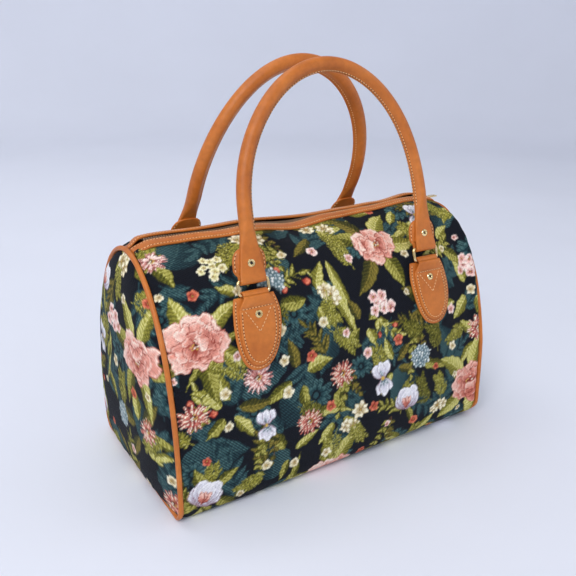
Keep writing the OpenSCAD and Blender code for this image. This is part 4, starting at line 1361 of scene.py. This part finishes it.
RINGS = [side + "_" + hand + "_ring" for side in SIDES for hand in ("left", "right")]
EYELETS = [side + kind for side in SIDES for kind in ("_tab_eyelets", "_handle_eyelets")]
dress(BRASS, "zip_slider", "zip_pull", *RINGS, *EYELETS)
dress(BOARD, "base_board")

# Floor, light and camera, in metres

FLOOR_R, FLOOR_BEND, WALL_TOP, FLOOR_SIDES = 2.4, 1.1, 2.6, 96
FLOOR_DROP = 0.0004
FLOOR_TONE = srgb(229, 232, 242)
SKY_TONE, SKY_LEVEL = srgb(226, 230, 240), 0.47
BAG_MIDDLE, WALL_MIDDLE = (0, 0, 0.15), (0.3, 2.9, 0.9)
# Place, aim, size and power of each lamp
LAMPS = {"key": ((-1.4, -1.4, 1.9), BAG_MIDDLE, 1.4, 42.5),
         "fill": ((1.8, -1.2, 1.2), BAG_MIDDLE, 1.8, 7),
         "top": ((-0.5, 0.5, 2.2), BAG_MIDDLE, 1.2, 6),
         "wall": ((-0.3, 1.1, 2.5), WALL_MIDDLE, 1.5, 20)}


def floor():
    """A round floor that bends up into a wall all round."""
    bend = np.linspace(0, math.pi / 2, 20)[1:]
    flat = np.linspace(0.02, FLOOR_R, 12)
    radii = np.concatenate([flat, FLOOR_R + FLOOR_BEND * np.sin(bend), [FLOOR_R + FLOOR_BEND]])
    heights = np.concatenate([0 * flat, FLOOR_BEND * (1 - np.cos(bend)), [WALL_TOP]]) - FLOOR_DROP
    around = circle(FLOOR_SIDES)
    points = np.stack([np.outer(radii, np.cos(around)), np.outer(radii, np.sin(around)),
                       np.repeat(heights[:, None], FLOOR_SIDES, 1)], -1).reshape(-1, 3)
    quads = grid_faces(len(radii), FLOOR_SIDES, wrap_cols=True)[:, ::-1].tolist()
    faces = [tuple(range(FLOOR_SIDES)), *quads]
    mesh = bpy.data.meshes.new("floor")
    mesh.from_pydata(points.tolist(), [], faces)
    mesh.polygons.foreach_set("use_smooth", [True] * len(faces))
    m = Shader("floor")
    colour = m.ramp(m.noise(m.place(), 2.0), (0.3, FLOOR_TONE * 0.97), (0.7, FLOOR_TONE))
    mesh.materials.append(m.surface({"Base Color": colour, "Roughness": 0.8}))
    obj = bpy.data.objects.new("floor", mesh)
    bpy.context.scene.collection.objects.link(obj)


def light():
    world = bpy.data.worlds.new("studio")
    bpy.context.scene.world = world
    world.use_nodes = True
    sky = world.node_tree.nodes["Background"].inputs
    sky["Color"].default_value = (*SKY_TONE, 1)
    sky["Strength"].default_value = SKY_LEVEL
    for name, (place, aim, size, power) in LAMPS.items():
        data = bpy.data.lights.new(name, "AREA")
        data.size = size
        data.energy = power
        lamp = bpy.data.objects.new(name, data)
        lamp.location = place
        lamp.rotation_euler = (Vector(aim) - lamp.location).to_track_quat("-Z", "Y").to_euler()
        bpy.context.scene.collection.objects.link(lamp)


def camera():
    data = bpy.data.cameras.new("camera")
    data.lens = LENS_MM
    data.sensor_width = SENSOR_MM
    obj = bpy.data.objects.new("camera", data)
    eye, aim = Vector(EYE) * MM, Vector(AIM) * MM
    look = (aim - eye).to_track_quat("-Z", "Y").to_matrix()
    roll = Matrix.Rotation(math.radians(ROLL_DEG), 3, "Z")
    obj.matrix_world = Matrix.Translation(eye) @ (look @ roll).to_4x4()
    bpy.context.scene.collection.objects.link(obj)
    bpy.context.scene.camera = obj


floor()
light()
camera()
bpy.context.scene.view_settings.view_transform = "Standard"
